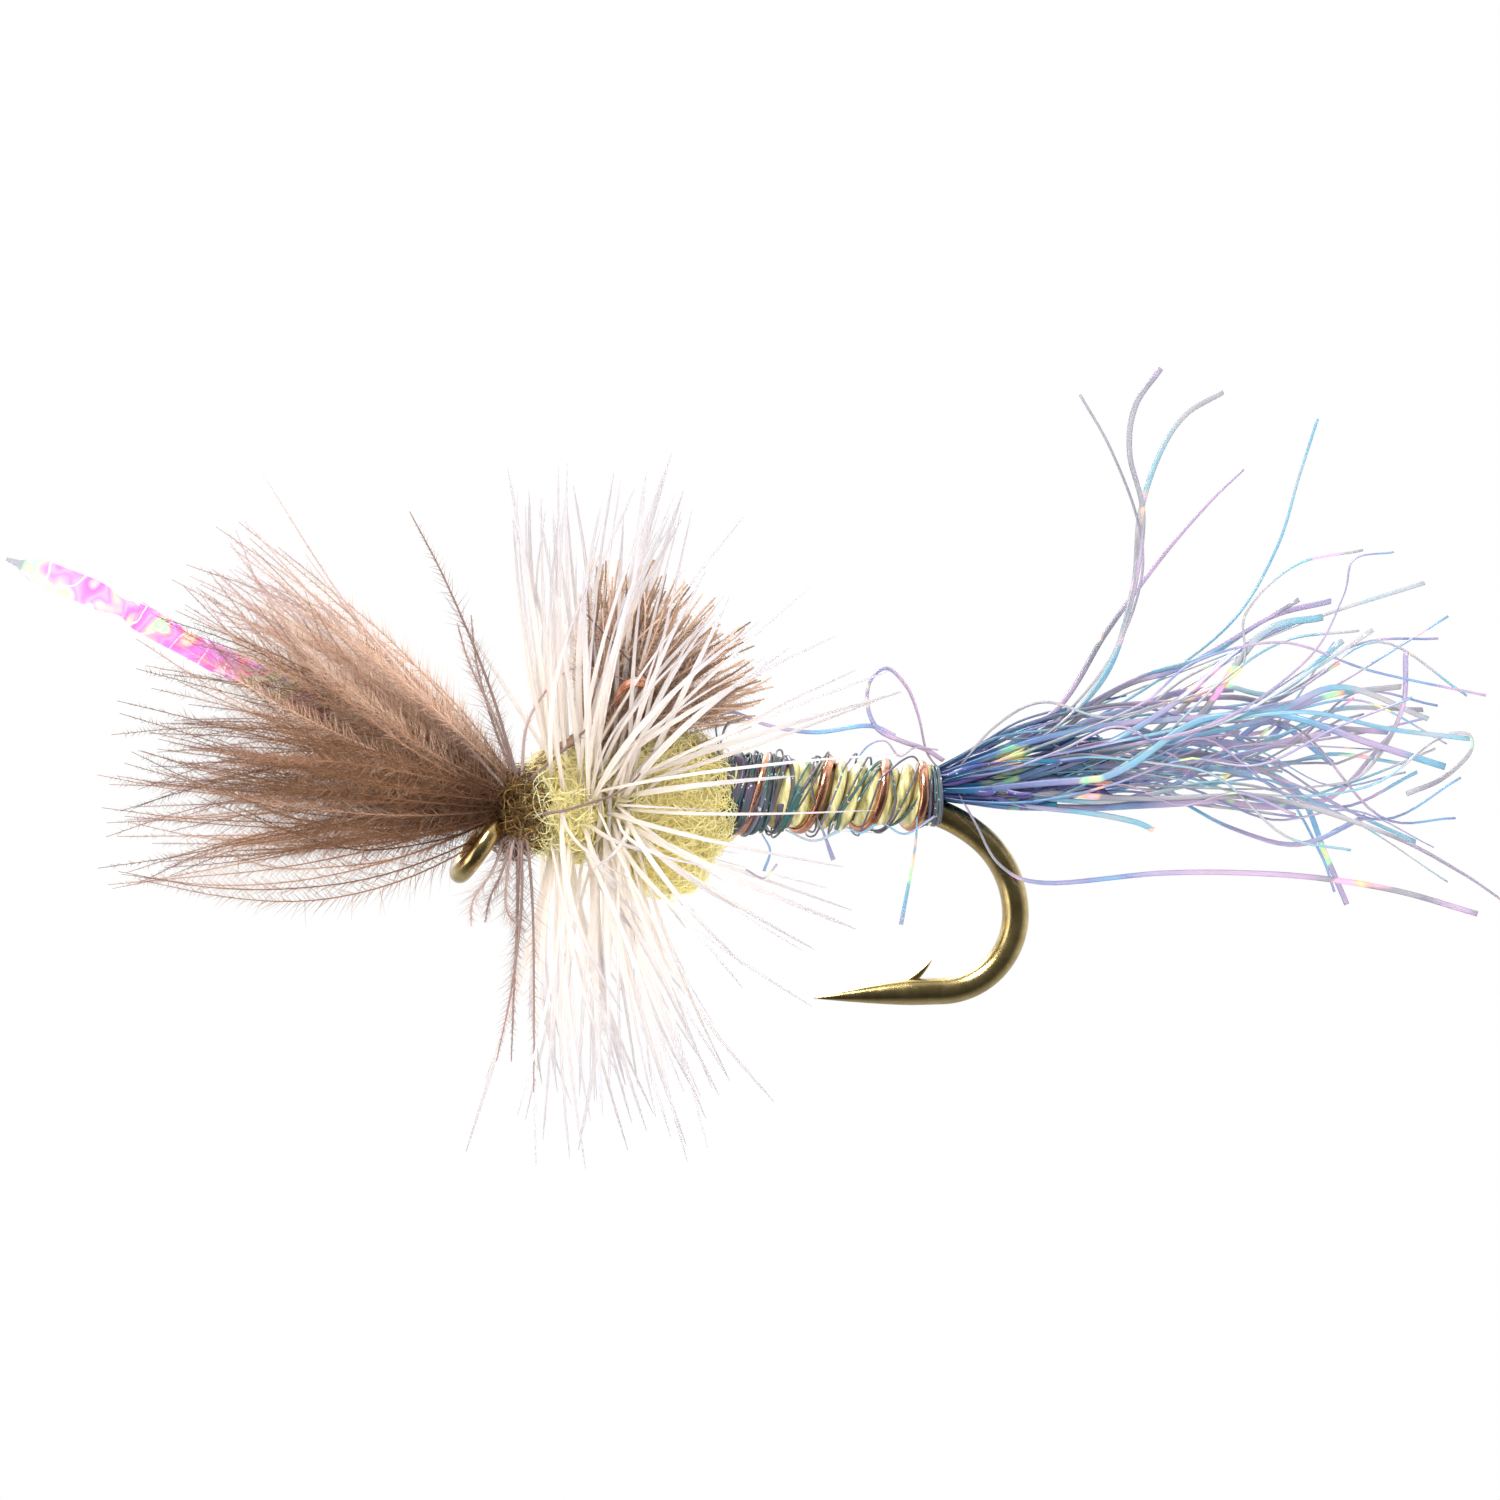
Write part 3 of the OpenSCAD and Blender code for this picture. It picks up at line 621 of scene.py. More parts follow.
# Long loose strands, as points from the bundle to the tip
STRAYS = (
    ((7.1, 0, 0.9), (8.1, -0.2, 1.25), (9.05, -0.5, 2.0), (9.65, -0.6, 3.1), (9.97, -0.5, 4.6),
     (9.75, -0.7, 5.6), (9.85, -0.7, 6.3), (10.25, -0.7, 6.86)),
    ((7.2, 0, 0.9), (8.6, 0, 1.6), (9.5, -0.2, 2.6), (9.95, -0.3, 3.7), (9.93, -0.3, 4.6), (9.6, 0.0, 5.7),
     (9.19, 0.2, 6.53)),
    ((7.1, 0.1, 0.9), (8.4, 0.1, 1.4), (9.4, -0.1, 2.3), (9.85, -0.2, 3.6), (10.0, -0.1, 4.7),
     (10.35, 0.1, 5.6), (10.8, 0.3, 6.2), (11.41, 0.4, 6.54)),
    ((7.2, 0.1, 0.9), (8.7, 0.3, 1.8), (9.6, 0.6, 3.0), (10.5, 0.8, 4.1), (11.25, 0.85, 4.9), (11.78, 0.8, 5.39)),
    ((7.2, 0.2, 0.9), (8.9, 0.4, 1.5), (10.3, 0.7, 2.2), (11.6, 1.1, 3.1), (12.35, 1.25, 4.2),
     (12.72, 1.2, 5.3), (13.0, 1.1, 6.15)),
    ((7.2, -0.1, 0.85), (9.2, -0.6, 1.2), (10.9, -1.2, 1.6), (12.2, -1.5, 2.5), (12.75, -1.5, 3.4),
     (12.95, -1.4, 3.95), (13.55, -1.4, 4.05)),
    ((7.2, 0.1, 0.9), (9.5, 0.7, 1.9), (11.5, 1.3, 2.6), (13.0, 1.5, 3.15), (14.73, 1.7, 3.65)),
    ((7.2, 0.1, 0.9), (9.7, -0.3, 1.7), (11.3, -0.6, 2.3), (11.45, -0.7, 3.2), (12.2, -0.8, 3.9), (13.2, -0.9, 4.1)),
    ((7.1, -0.1, 0.75), (7.35, -0.4, 0.2), (7.7, -0.5, -0.45), (8.4, -0.5, -0.73), (10.2, -0.7, -0.62),
     (12.0, -0.85, -0.70), (13.5, -1.0, -0.95), (14.77, -1.1, -1.34)),
    ((7.2, 0.1, 0.75), (9.2, 0.5, 0.55), (11.2, 1.0, 0.95), (12.5, 1.2, 0.6), (13.0, 1.15, -0.5), (13.28, 1.1, -1.2)),
    ((7.2, 0.1, 0.75), (9.4, 0.3, 0.7), (11.4, 0.8, 0.8), (12.3, 0.9, 0.5), (12.85, 0.95, -0.4), (13.06, 0.95, -1.0)),
    ((7.2, -0.1, 0.75), (9.6, -0.7, 0.5), (11.6, -1.2, 0.45), (13.3, -1.5, -0.1), (14.4, -1.6, -0.7),
     (15.17, -1.6, -1.24)),
    ((7.2, -0.1, 0.75), (9.2, -0.5, 0.45), (11.0, -0.9, 0.7), (12.7, -1.1, 0.2), (14.3, -1.2, -0.85)),
    ((7.1, 0, 0.9), (7.7, -0.3, 1.6), (8.4, -0.5, 1.95), (9.3, -0.7, 1.7), (10.2, -0.8, 1.9)),
    ((7.2, 0, 0.8), (9.5, -0.6, 0.7), (11.2, -1.0, 0.6), (12.45, -1.2, 0.62), (13.1, -1.2, 0.82),
     (13.66, -1.2, 1.69), (13.75, -1.2, 2.58)),
    ((7.2, 0, 0.8), (9.5, -0.5, 0.9), (11.6, -1.1, 0.5), (13.1, -1.4, 0.6), (14.1, -1.4, 1.25),
     (14.6, -1.4, 1.34), (14.64, -1.4, 1.06), (14.2, -1.4, 0.68), (13.66, -1.4, 0.47)),
    ((7.2, 0, 0.9), (8.6, -0.7, 1.4), (9.8, -1.0, 1.9), (10.6, -1.1, 2.5), (11.9, -1.2, 2.75),
     (13.2, -1.3, 2.3), (14.9, -1.4, 1.9)),
    ((7.1, 0, 0.8), (8.0, -0.4, 0.45), (9.0, -0.6, 0.30), (9.7, -0.6, 0.15), (10.0, -0.6, 0.02)),
)
STRAY_TONES = (0.1, 0.12, 0.95, 0.27, 0.85, 0.25, 0.0, 0.95, 0.2, 0.5, 0.45, 0.1, 0.95)


def build_tail():
    root = Strands()
    n = 30
    paths = tail_paths(44, 8.1, 9.9, n, 0.5)
    root.tubes(paths, vary((44, 1), 0.035, 0.06), 0.014, sides=4, tone=vary(44, 0, 1),
               twist=vary((44, 1), 0, 3) * np.linspace(0, 2, n))
    root.piece("shuck_root", ROOT_FILM, ["shuck_bundle"])

    spread = Strands()
    n = 50
    paths = kink(tail_paths(36, 11.4, 15.1, n, 1.8), 0.9)
    roll = vary((36, 1), 0, 3) + vary((36, 1), -2, 2) * np.linspace(0, 1, n)
    spread.tubes(paths, vary((36, 1), 0.040, 0.056), 0.012, sides=6, tone=vary(36, 0, 1), twist=roll)
    paths = kink(tail_paths(26, 11.0, 15.0, n, 2.6), 1.2)
    spread.tubes(paths, 0.020, sides=5, tone=vary(26, 0, 1))
    spread.piece("shuck_spread", TAIL_FILM, ["shuck_fibres"])

    strays = Strands()
    for i, points in enumerate(STRAYS):
        path = smooth_path(points, 60)[None]
        flat = i % 3 != 1
        roll = (0.4 * i + 1.6 * np.linspace(0, 1, 60))[None] if flat else 0.0
        wide, thick = (0.043, 0.013) if flat else (0.022, None)
        strays.tubes(path, wide, thick, sides=6, tone=STRAY_TONES[i % len(STRAY_TONES)], twist=roll)
    strays.piece("shuck_strays", LOOSE_FILM, ["shuck_stray_fibres"])


def build_loose_flash():
    loop = Strands()
    ring = smooth_path([(6.95, 0.1, 0.95), (6.72, 0.0, 1.25), (6.6, -0.1, 1.75), (6.42, -0.2, 2.2),
                        (6.12, -0.25, 2.5), (5.85, -0.3, 2.32), (5.8, -0.3, 1.95), (5.95, -0.3, 1.6),
                        (6.3, -0.3, 1.42), (6.65, -0.2, 1.3), (6.95, -0.1, 1.12)], 90)
    loop.tubes(ring, 0.036, 0.014, sides=6, tone=0.28, twist=np.linspace(0, 2.5, 90)[None])
    strand = smooth_path([(3.62, -0.1, 1.2), (3.55, -0.2, 1.75), (3.8, -0.25, 1.9), (4.3, -0.3, 1.70),
                          (5.0, -0.3, 1.58), (5.8, -0.3, 1.66), (6.2, -0.3, 1.5)], 60)
    loop.tubes(strand, 0.034, 0.013, sides=6, tone=0.30, twist=np.linspace(0, 1.5, 60)[None])
    hump = smooth_path([(5.6, -0.3, 1.15), (5.8, -0.42, 1.38), (6.05, -0.4, 1.42), (6.25, -0.35, 1.2),
                        (6.5, -0.3, 1.32), (6.85, -0.2, 1.28)], 40)
    loop.tubes(hump, 0.024, 0.014, sides=6, tone=0.25)
    loop.piece("flash_loops", LOOSE_FILM, ["flash_loop"])

    stubs = Strands()
    # Each cut end has three points, its half width and its tone
    ends = (((5.0, -0.4, 0.30), (5.09, -0.45, 0.05), (5.21, -0.45, -0.31), 0.05, 0.25),
            ((6.50, -0.35, 0.35), (6.43, -0.45, -0.2), (6.20, -0.45, -1.29), 0.046, 0.82),
            ((3.55, -0.3, 1.30), (3.68, -0.4, 1.72), (3.95, -0.4, 1.80), 0.052, 0.0),
            ((4.5, -0.5, 0.15), (4.9, -0.6, -0.02), (5.3, -0.55, 0.12), 0.03, 0.8),
            ((4.15, -0.5, 0.10), (4.25, -0.6, -0.15), (4.15, -0.6, -0.45), 0.028, 0.5),
            ((3.9, -0.5, -0.42), (4.15, -0.6, -0.55), (4.35, -0.6, -0.35), 0.022, 0.3),
            ((6.0, -0.4, 0.2), (6.3, -0.5, 0.05), (6.75, -0.4, 0.3), 0.024, 0.7),
            ((5.4, -0.5, 0.18), (5.6, -0.58, 0.08), (5.85, -0.5, 0.2), 0.024, 0.65))
    for a, b, c, width, tone in ends:
        stubs.tubes(smooth_path([a, b, c], 18), width, 0.013, sides=6, tone=tone, twist=np.linspace(0, 0.8, 18)[None])
    stubs.piece("flash_ends", LOOSE_FILM, ["flash_stubs"])


# ---- feathers ----


def barbed(strands, paths, barb_r, per_barb, length, tone, spread=0.75, taper=0.25, hair=0.0062, sides=4):
    """Downy barbs: a fine shaft along each path with hairs along both sides, shorter towards the tip."""
    m, n = paths.shape[:2]
    along = np.linspace(0, 1, n)
    strands.tubes(paths, barb_r * (1 - (1 - taper) * along)[None] * np.ones((m, 1)), sides=sides, tone=tone)
    t, a, b = path_frames(paths)
    s = np.linspace(0.04, 0.97, per_barb)
    s = np.clip(s[None] + rng.normal(0, 0.4 / per_barb, (m, per_barb)), 0.01, 0.99)
    k = s * (n - 1)
    i = np.minimum(k.astype(int), n - 2)
    f = (k - i)[..., None]
    rows = np.arange(m)[:, None]
    pick = lambda v: v[rows, i] * (1 - f) + v[rows, i + 1] * f
    base, way, one, two = pick(paths), unit(pick(t)), pick(a), pick(b)
    turn = rng.normal(0, 0.55, (m, per_barb)) + np.where(np.arange(per_barb) % 2, math.pi, 0)[None]
    turn = turn + rng.uniform(0, TAU, (m, 1))
    out = np.cos(turn)[..., None] * one + np.sin(turn)[..., None] * two
    open_angle = rng.normal(spread, 0.2, (m, per_barb))[..., None]
    reach = length * (0.45 + 0.75 * np.sin(math.pi * np.clip(s * 0.9 + 0.12, 0, 1))) * (1 - 0.75 * s**3)
    reach = (reach * rng.uniform(0.6, 1.15, (m, per_barb)))[..., None]
    tip = base + reach * (np.cos(open_angle) * way + np.sin(open_angle) * out) + rng.normal(0, 0.02, base.shape)
    tones = np.repeat(np.broadcast_to(tone, m), per_barb) + 0.12 + rng.normal(0, 0.1, m * per_barb)
    strands.spikes(base.reshape(-1, 3), tip.reshape(-1, 3), hair, tones, s.ravel())


def fan(root, angles, depths, lengths, bow, samples, root_spread=0.1, start=0.0):
    """Barbs from root; angles are above the forward direction in the XZ plane, depths are angles out of it."""
    m = len(angles)
    way = np.stack([-np.cos(angles) * np.cos(depths), np.sin(depths), np.sin(angles) * np.cos(depths)], -1)
    droop = np.stack([-np.sin(angles), np.zeros(m), -np.cos(angles)], -1)
    foot = root + rng.normal(0, root_spread, (m, 3)) * [0.6, 1, 0.8] + way * start
    bend = rng.normal(0, bow, (m, 1)) * droop + rng.normal(0, bow, (m, 1)) * [0, 1, 0]
    keys = [foot + way * (lengths[:, None] * f) + bend * (4 * f * (1 - f)) + rng.normal(0, 0.03 * f, (m, 3))
            for f in (0.0, 0.2, 0.4, 0.6, 0.8, 1.0)]
    return smooth_path(np.stack(keys, 1), samples)


def build_wing():
    """Brown down swept forward in a fan, one feather to a piece: the upper ones are paler and thinner."""
    # Name, CAD nodes, barbs, (degrees above forward, spread), reach, tones, hair length
    feathers = (
        ("wing_feather_top", ["wing_plume_upper"], 30, (39.5, 3.5), (4.4, 6.0), (0.65, 1.1), 0.40),
        ("wing_feather_high", [], 40, (33, 4.5), (4.6, 6.3), (0.5, 1.05), 0.42),
        ("wing_feather_middle", ["wing_plume_middle"], 42, (23, 5.5), (4.2, 6.2), (0.0, 0.7), 0.42),
        ("wing_feather_core", ["wing_quills"], 42, (11, 5.5), (4.2, 6.2), (0.0, 0.5), 0.42),
        ("wing_feather_low", ["wing_plume_lower"], 32, (1, 5), (4.4, 6.3), (0.1, 0.65), 0.42),
        ("wing_feather_bottom", [], 20, (-8, 3.5), (4.3, 6.2), (0.2, 0.75), 0.40),
    )
    for name, replaces, count, (angle, width), reach, tones, hair in feathers:
        strands = Strands()
        clump = rng.integers(0, 8, count)
        angles = rng.normal(angle, width, 8)[clump] + rng.normal(0, 1.8, count)
        angles = np.radians(np.clip(angles, angle - 2 * width, angle + 2 * width))
        depths = np.clip(rng.normal(0, 0.17, 8)[clump] + rng.normal(0, 0.06, count), -0.42, 0.42)
        paths = fan(TIE_IN, angles, depths, vary(count, *reach), 0.32, 20)
        barbed(strands, paths, 0.015, 230, hair, vary(count, *tones), 0.85, hair=0.005)
        strands.piece(name, CDC, replaces)


def build_wing_butts():
    butts = Strands()
    count = 260
    base = np.array([1.75, 0, 1.55])
    angles = math.pi - np.radians(rng.uniform(6, 88, count))
    depths = np.clip(rng.normal(0, 0.26, count), -0.5, 0.5)
    paths = fan(base, angles, depths, vary(count, 2.0, 2.75), 0.08, 10, 0.14)
    barbed(butts, paths, 0.015, 110, 0.22, vary(count, 0.0, 0.95), 1.0, taper=0.8, hair=0.0064)
    butts.piece("wing_butt_ends", CDC_BUTTS, ["wing_butts"])

    over = Strands()
    count = 18
    y = rng.normal(0, 0.22, count)
    over_thorax = ((0.62, 0.85, 0.7), (0.95, 1.25, 1.0), (1.35, 1.5, 1.3), (1.75, 1.6, 1.2), (2.1, 1.85, 1.2))
    keys = np.stack([np.stack([np.full(count, x), y * w, z + rng.normal(0, 0.06, count)], -1)
                     for x, z, w in over_thorax], 1)
    barbed(over, smooth_path(keys, 12), 0.022, 16, 0.22, vary(count, 0.1, 0.6), taper=0.9)
    over.piece("wing_over_thorax", CDC_BUTTS, ["wing_strands"])


# Loose barbs of down, each with its points, hair length and tone
LEGS = (
    (((0.66, -0.40, 0.35), (0.72, -0.55, -0.8), (0.70, -0.65, -2.2), (0.66, -0.7, -3.6)), 0.25, 0.45),
    (((0.60, -0.36, 0.35), (0.55, -0.6, -0.9), (0.35, -0.8, -2.1), (0.10, -0.9, -3.12)), 0.25, 0.5),
    (((0.58, -0.38, 0.35), (0.50, -0.5, -1.0), (0.42, -0.6, -2.0), (0.38, -0.6, -2.7)), 0.30, 0.5),
    (((0.62, 0.40, 0.35), (0.62, 0.6, -0.9), (0.56, 0.7, -2.0), (0.50, 0.8, -3.2)), 0.25, 0.45),
    (((0.50, -0.30, 0.3), (0.30, -0.42, -0.35), (0.10, -0.5, -0.75), (0.02, -0.5, -1.1)), 0.3, 0.6),
    (((0.52, -0.35, 0.3), (0.36, -0.5, -0.45), (0.34, -0.6, -0.95), (0.60, -0.6, -1.25)), 0.3, 0.75),
    (((0.60, -0.30, 0.9), (0.15, -0.5, 2.4), (-0.45, -0.6, 3.9), (-0.96, -0.6, 4.94)), 0.22, 0.35),
    (((0.45, -0.20, 0.8), (-0.5, -0.4, 1.9), (-1.9, -0.5, 3.6), (-3.09, -0.5, 5.53)), 0.16, 0.95),
    (((0.45, 0.20, 0.8), (-0.5, 0.4, 2.0), (-1.4, 0.6, 3.0), (-2.45, 0.7, 4.45)), 0.16, 1.0),
    (((0.45, -0.10, 0.8), (-0.6, -0.2, 1.7), (-2.0, -0.3, 3.3), (-3.35, -0.3, 4.85)), 0.16, 0.95),
    (((0.45, 0.10, 0.8), (-0.3, 0.3, 1.8), (-1.1, 0.5, 2.7), (-1.95, 0.6, 3.75)), 0.2, 1.0),
    (((0.45, 0.10, 0.4), (0.18, -0.45, -0.3), (-0.15, -0.6, -0.75), (-0.2, -0.6, -1.15)), 0.34, 0.85),
    (((0.62, 0.30, 0.9), (0.32, 0.5, 1.8), (0.1, 0.6, 2.7), (0.03, 0.6, 3.43)), 0.3, 0.45),
    (((0.60, -0.2, 0.9), (0.25, -0.3, 1.9), (-0.1, -0.3, 2.7), (-0.28, -0.4, 3.3)), 0.34, 0.7),
    (((0.60, -0.42, 0.45), (1.3, -1.05, 0.55), (2.2, -1.25, 0.95), (2.81, -1.2, 2.1)), 0.06, 0.3),
    (((0.70, -0.42, 0.95), (1.3, -0.95, 1.5), (2.05, -1.1, 2.2), (2.76, -1.1, 3.0)), 0.08, 0.4),
    (((0.62, -0.3, 0.95), (0.75, -0.5, 1.9), (1.4, -0.6, 2.6), (2.2, -0.7, 2.4)), 0.12, 0.8),
)


def build_legs():
    legs = Strands()
    for points, hair, tone in LEGS:
        barbed(legs, smooth_path(points, 26)[None], 0.026, 110, 1.25 * hair, tone - 0.05, taper=0.3)
    legs.tubes(smooth_path([(1.5, -1.0, 3.45), (2.0, -1.02, 2.88), (2.6, -1.0, 2.25)], 12), 0.011, sides=5, tone=0.0)
    legs.piece("loose_barbs", CDC_LEGS, ["leg_barbs"])


def build_hackle():
    """Ivory barbs round the thorax. Those at the sides lean back, those above and below stand nearly upright."""
    turns = 5
    count = turns * 40
    q = np.linspace(0, TAU * turns, count)
    x = np.linspace(STEM[0] - 0.4, STEM[0] + 0.33, count)
    stem = Strands()
    stem.tubes(np.stack([x, 0.74 * np.sin(q), STEM[2] + 0.74 * np.cos(q)], -1), 0.03, sides=8, tone=0.4)
    stem.piece("hackle_quill", HACKLE, ["hackle_stem"])

    total, parts = 208, 4
    for part in range(parts):
        strands = Strands()
        m = total // parts
        column = rng.uniform(0, 1, m) < 0.64
        upright = math.pi * (rng.uniform(0, 1, m) < 0.5)
        splay = rng.normal(0, 0.5, m)
        q = np.where(column, upright + splay, rng.uniform(0, TAU, m))
        foot_q = np.where(column, upright + np.clip(2.4 * splay, -1.55, 1.55), q)
        side = np.abs(np.sin(q))
        early = rng.uniform(0, 1, m) < 0.4
        place = 0.38 - rng.uniform(0, 1, m) * np.where(early, 1.25, 0.45 + 0.75 * (1 - side**2))
        lean = np.radians(rng.normal(1 + 9 * place + (24 + 16 * np.maximum(place, 0)) * side**2, 7 + 5 * side, m))
        radial = np.stack([np.zeros(m), np.sin(q), np.cos(q)], -1)
        back = np.array([1.0, 0, 0])
        way = radial * np.cos(lean)[:, None] + back * np.sin(lean)[:, None]
        foot = np.stack([STEM[0] + place, 0.68 * np.sin(foot_q), STEM[2] + 0.66 * np.cos(foot_q)], -1)
        length = np.clip(rng.normal(4.1, 0.42, m), 2.6, 4.75)[:, None]
        length = np.where(rng.uniform(0, 1, (m, 1)) < 0.16, vary((m, 1), 1.2, 2.6), length)
        curl = back * rng.normal(0.3 + 0.6 * side**2, 0.4)[:, None]
        curl = curl + np.cross(radial, back) * rng.normal(0, 0.25, m)[:, None]
        keys = [foot + way * length * f + curl * f**2 for f in (0.0, 0.25, 0.5, 0.75, 1.0)]
        n = 14
        f = np.linspace(0, 1, n)
        taper = np.where(f < 1, (1 - f) ** 0.6 * (0.55 + 0.5 * np.sin(math.pi * f)) + 0.34, 0.10)
        width = np.outer(vary(m, 0.026, 0.050), taper)
        strands.tubes(smooth_path(np.stack(keys, 1), n), width, width * 0.6, sides=6, tone=vary(m, 0, 1),
                      twist=vary((m, 1), 0, 3) + vary((m, 1), -0.8, 0.8) * f)
        strands.piece(f"hackle_barbs_{part + 1}", HACKLE, ["hackle_barbs"] if part == 0 else [])


# ---- fur ----


def curly(centres, normals, length, curl, samples):
    """Crimped fur: each hair starts on the surface and winds over it."""
    m = len(centres)
    a = unit(np.cross(normals, rng.normal(0, 1, (m, 3))))
    b = np.cross(normals, a)
    s = np.linspace(0, 1, samples)[None, :, None]
    phase, rate = vary((m, 1, 1), 0, TAU), vary((m, 1, 1), 3, 9)
    size = vary((m, 1, 1), 0.5, 1.3) * curl
    run = vary((m, 1, 1), 0.6, 1.2) * length
    wave = size * (np.cos(phase + rate * s) - np.cos(phase)) * b[:, None] \
        + size * 0.8 * (np.sin(phase + rate * s) - np.sin(phase)) * normals[:, None]
    lift = normals[:, None] * (0.03 + 0.07 * np.sin(math.pi * s) - 0.4 * run**2 * s**2)
    return centres[:, None] + a[:, None] * run * s + wave + lift


def lobes_surface(lobes, count):
    """Random points and outward directions on the outside of a group of (centre, radii) lobes."""
    areas = np.array([np.prod(r) ** (2 / 3) for _, r in lobes])
    which = rng.choice(len(lobes), count * 3, p=areas / areas.sum())
    way = unit(rng.normal(0, 1, (count * 3, 3)))
    centres = np.array([c for c, _ in lobes])[which]
    radii = np.array([r for _, r in lobes])[which]
    points = centres + way * radii
    outside = np.ones(len(points), bool)
    for c, r in lobes:
        outside &= (((points - c) / r) ** 2).sum(-1) > 0.93
    keep = np.flatnonzero(outside)[:count]
    return points[keep], unit(way[keep] / radii[keep])


def lumpy(name, lobes, material, replaces):
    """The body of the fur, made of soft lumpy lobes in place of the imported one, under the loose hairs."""
    bm = bmesh.new()
    for centre, radii in lobes:
        made = bmesh.ops.create_icosphere(bm, subdivisions=5, radius=1.0)
        for v in made["verts"]:
            p = Vector(v.co)
            lump = 1 + 0.05 * noise.noise(p * 4.0 + Vector(centre)) + 0.04 * noise.noise(p * 11.0)
            v.co = Vector([(c + q * r * 0.95 * lump) * MM for c, q, r in zip(centre, p, radii)])
    mesh = bpy.data.meshes.new(name)
    bm.to_mesh(mesh)
    bm.free()
    for polygon in mesh.polygons:
        polygon.use_smooth = True
    ob = bpy.data.objects.new(name, mesh)
    bpy.context.scene.collection.objects.link(ob)
    mesh.materials.append(material)
    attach(ob, BODY)
    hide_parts(*replaces)


def build_thorax():
    rear = [((2.95, 0, 0.62), (0.82, 0.86, 0.86)), ((2.5, 0, 0.66), (0.7, 0.8, 0.8)),
            ((2.78, -0.05, -0.02), (0.55, 0.55, 0.62))]
    front = [((1.4, 0, 0.62), (0.5, 0.70, 0.70)), ((1.12, 0, 0.6), (0.42, 0.62, 0.62))]
    for name, lobes, hairs, node in (("rear_fur", rear, 2300, "thorax_dubbing_rear"),
                                     ("front_fur", front, 1100, "thorax_dubbing_front")):
        lumpy(f"{name}_core", lobes, DUBBING, [node])
        points, normals = lobes_surface(lobes, hairs)
        fur = Strands()
        m = len(points)
        fur.tubes(curly(points, normals, 0.55, 0.07, 12), 0.0075, sides=3, tone=vary(m, 0, 1))
        fur.piece(f"{name}_hairs", DUBBING)


def build_head():
    turns = 11
    n = turns * 30
    s = np.linspace(0, 1, n)
    q = TAU * turns * s
    r = 0.25 + 0.17 * np.sin(math.pi * np.clip(s * 0.62 + 0.08, 0, 1))
    wraps = Strands()
    wraps.tubes(np.stack([0.44 + 0.5 * s, r * np.sin(q), SHANK_Z + r * np.cos(q)], -1), 0.032, 0.026, sides=8)
    wraps.piece("head_wraps", THREAD, ["head_thread"])
    lobes = [((0.74, 0, SHANK_Z + 0.04), (0.35, 0.52, 0.47)), ((0.55, 0, SHANK_Z - 0.14), (0.22, 0.33, 0.36))]
    points, normals = lobes_surface(lobes, 850)
    fur = Strands()
    fur.tubes(curly(points, normals, 0.42, 0.06, 8), 0.008, sides=3, tone=vary(len(points), 0, 1))
    fur.piece("head_fur_tufts", HEAD_FUR, ["head_fuzz"])


def build_strip():
    n = 120
    s = np.linspace(0, 1, n)
    path = smooth_path([(0.3, 0, 0.95), (-1.2, 0.5, 1.6), (-2.9, 0.8, 2.45), (-4.1, 0.75, 3.05), (-5.4, 0.4, 3.78),
                        (-6.82, 0.1, 4.38)], n)
    width = np.interp(s, (0, 0.935, 0.965, 0.975, 1), (0.20, 0.20, 0.10, 0.055, 0.03)) * (1 + 0.05 * np.sin(s * 40))
    crease = 0.85 * np.exp(-(((s - 0.76) / 0.035) ** 2))
    twist = math.pi / 2 + 0.35 * np.sin(s * 17) + crease
    strip = Strands()
    strip.tubes(path, width[None], 0.008, sides=8, twist=twist[None])
    strip.piece("pearl_strip_film", PEARL, ["flash_strip"], smooth=False)


def dress_hidden_nodes():
    for name in ("thread_underbody", "wing_lashing"):
        mesh = frame["nodes"][name].data
        mesh.materials.clear()
        mesh.materials.append(THREAD)


# ---- studio ----


def look_at(ob, target, roll=0.0):
    way = (Vector(target) - ob.location).normalized()
    ob.rotation_mode = "QUATERNION"
    ob.rotation_quaternion = way.to_track_quat("-Z", "Y") @ Matrix.Rotation(roll, 3, "Z").to_quaternion()


def softbox(name, place, target, size, watts, shiny=True):
    light = bpy.data.lights.new(name, "AREA")
    light.shape = "RECTANGLE"
    light.size, light.size_y = (s * MM for s in size)
    light.energy = watts
    ob = bpy.data.objects.new(name, light)
    bpy.context.scene.collection.objects.link(ob)
    ob.location = Vector(place) * MM
    ob.visible_glossy = shiny
    look_at(ob, Vector(target) * MM)


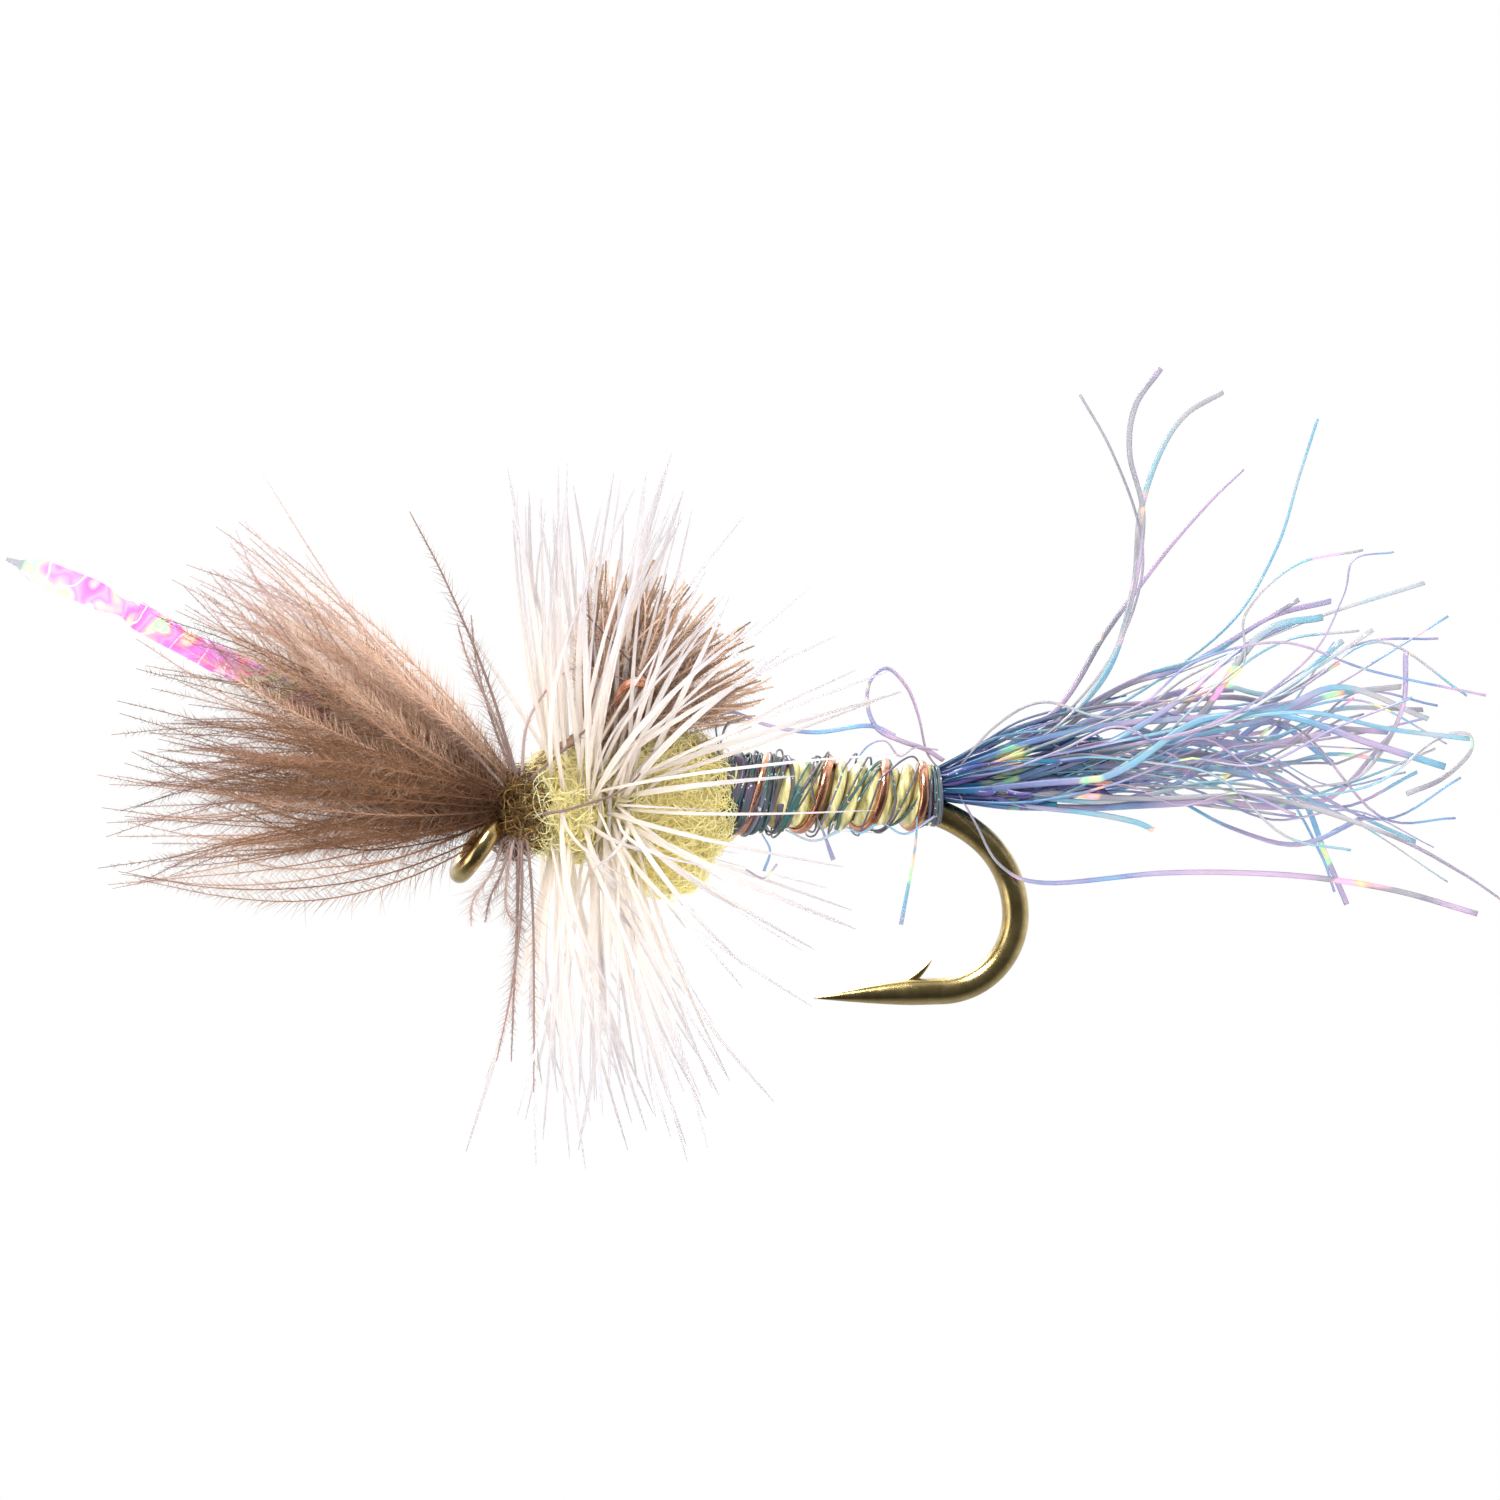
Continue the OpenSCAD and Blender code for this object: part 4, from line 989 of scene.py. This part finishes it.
def build_room():
    """White to look at. Its light is even above and behind the fly, and weaker below it and in front."""
    world = bpy.data.worlds.new("studio")
    world.use_nodes = True
    tree = world.node_tree
    tree.nodes.clear()
    add, link = tree.nodes.new, tree.links.new
    seen, lit = add("ShaderNodeBackground"), add("ShaderNodeBackground")
    for node in (seen, lit):
        node.inputs["Color"].default_value = (1, 1, 1, 1)
    place = add("ShaderNodeTexCoord").outputs["Generated"]
    dot = add("ShaderNodeVectorMath")
    dot.operation = "DOT_PRODUCT"
    dot.inputs[1].default_value = (-0.14, -0.99, 0.0)
    parts = add("ShaderNodeSeparateXYZ")
    near, high = add("ShaderNodeMapRange"), add("ShaderNodeMapRange")
    for node, values in ((near, (-0.25, 0.6, 1.0, 0.12)), (high, (-0.6, 0.7, 0.5, 1.4))):
        for key, value in zip(("From Min", "From Max", "To Min", "To Max"), values):
            node.inputs[key].default_value = value
    both = add("ShaderNodeMath")
    both.operation = "MULTIPLY"
    link(place, dot.inputs[0])
    link(place, parts.inputs[0])
    link(dot.outputs["Value"], near.inputs["Value"])
    link(parts.outputs["Z"], high.inputs["Value"])
    link(near.outputs["Result"], both.inputs[0])
    link(high.outputs["Result"], both.inputs[1])
    link(both.outputs[0], lit.inputs["Strength"])
    mixer, output = add("ShaderNodeMixShader"), add("ShaderNodeOutputWorld")
    link(add("ShaderNodeLightPath").outputs["Is Camera Ray"], mixer.inputs["Fac"])
    link(lit.outputs[0], mixer.inputs[1])
    link(seen.outputs[0], mixer.inputs[2])
    link(mixer.outputs[0], output.inputs["Surface"])
    bpy.context.scene.world = world


def build_lights():
    middle = (4, 0, 1)
    softbox("key", (-50, -70, 120), middle, (60, 60), 0.26)
    softbox("fill", (40, -120, 30), middle, (60, 60), 0.16, shiny=False)
    softbox("left", (-120, -36, 12), middle, (90, 110), 0.09)
    softbox("rear", (-30, 90, 100), middle, (80, 60), 0.20)


def build_floor():
    """Pale paper below the fly. It is plain white to look at, so the fly stands on a clean ground."""
    n = Nodes("paper")
    colour = n.ramp(n.noise(0.4, 4.0), (0.3, (0.80, 0.80, 0.80)), (0.7, (0.84, 0.84, 0.84)))
    lit_paper = n.principled(colour, 0.8)
    seen_paper = n.add("ShaderNodeEmission", Color=(1, 1, 1, 1), Strength=1.0)
    choice = n.add("ShaderNodeMixShader")
    n.link(n.add("ShaderNodeLightPath").outputs["Is Camera Ray"], choice.inputs["Fac"])
    n.link(lit_paper.outputs[0], choice.inputs[1])
    n.link(seen_paper.outputs[0], choice.inputs[2])
    paper = n.finish(choice)
    mesh = bpy.data.meshes.new("floor")
    half, level = 400 * MM, (cad_bounds[0][2] / MM - 12) * MM
    corners = [(x * half, y * half, level) for x, y in ((-1, -1), (1, -1), (1, 1), (-1, 1))]
    mesh.from_pydata(corners, [], [(0, 1, 2, 3)])
    mesh.materials.append(paper)
    floor = bpy.data.objects.new("floor", mesh)
    bpy.context.scene.collection.objects.link(floor)
    floor.visible_glossy = False


def build_camera():
    """A long lens, level with the fly, turned 8 degrees round it and rolled a little."""
    camera = bpy.data.cameras.new("camera")
    camera.sensor_width = 36
    camera.lens = 180
    camera.clip_start, camera.clip_end = 0.005, 10
    frame_width = 22.2
    distance = camera.lens * frame_width / camera.sensor_width
    turn, roll = math.radians(8), math.radians(1.3)
    target = Vector((4.07, 0, 1.34))
    ob = bpy.data.objects.new("camera", camera)
    bpy.context.scene.collection.objects.link(ob)
    ob.location = (target - Vector((math.sin(turn), math.cos(turn), 0)) * distance) * MM
    look_at(ob, target * MM, -roll)
    bpy.context.scene.camera = ob


bpy.context.scene.view_settings.view_transform = "Standard"
build_room()
build_lights()
build_floor()
build_camera()
build_hook()
build_abdomen()
build_tail()
build_loose_flash()
build_thorax()
build_wing()
build_wing_butts()
build_legs()
build_hackle()
build_head()
build_strip()
dress_hidden_nodes()
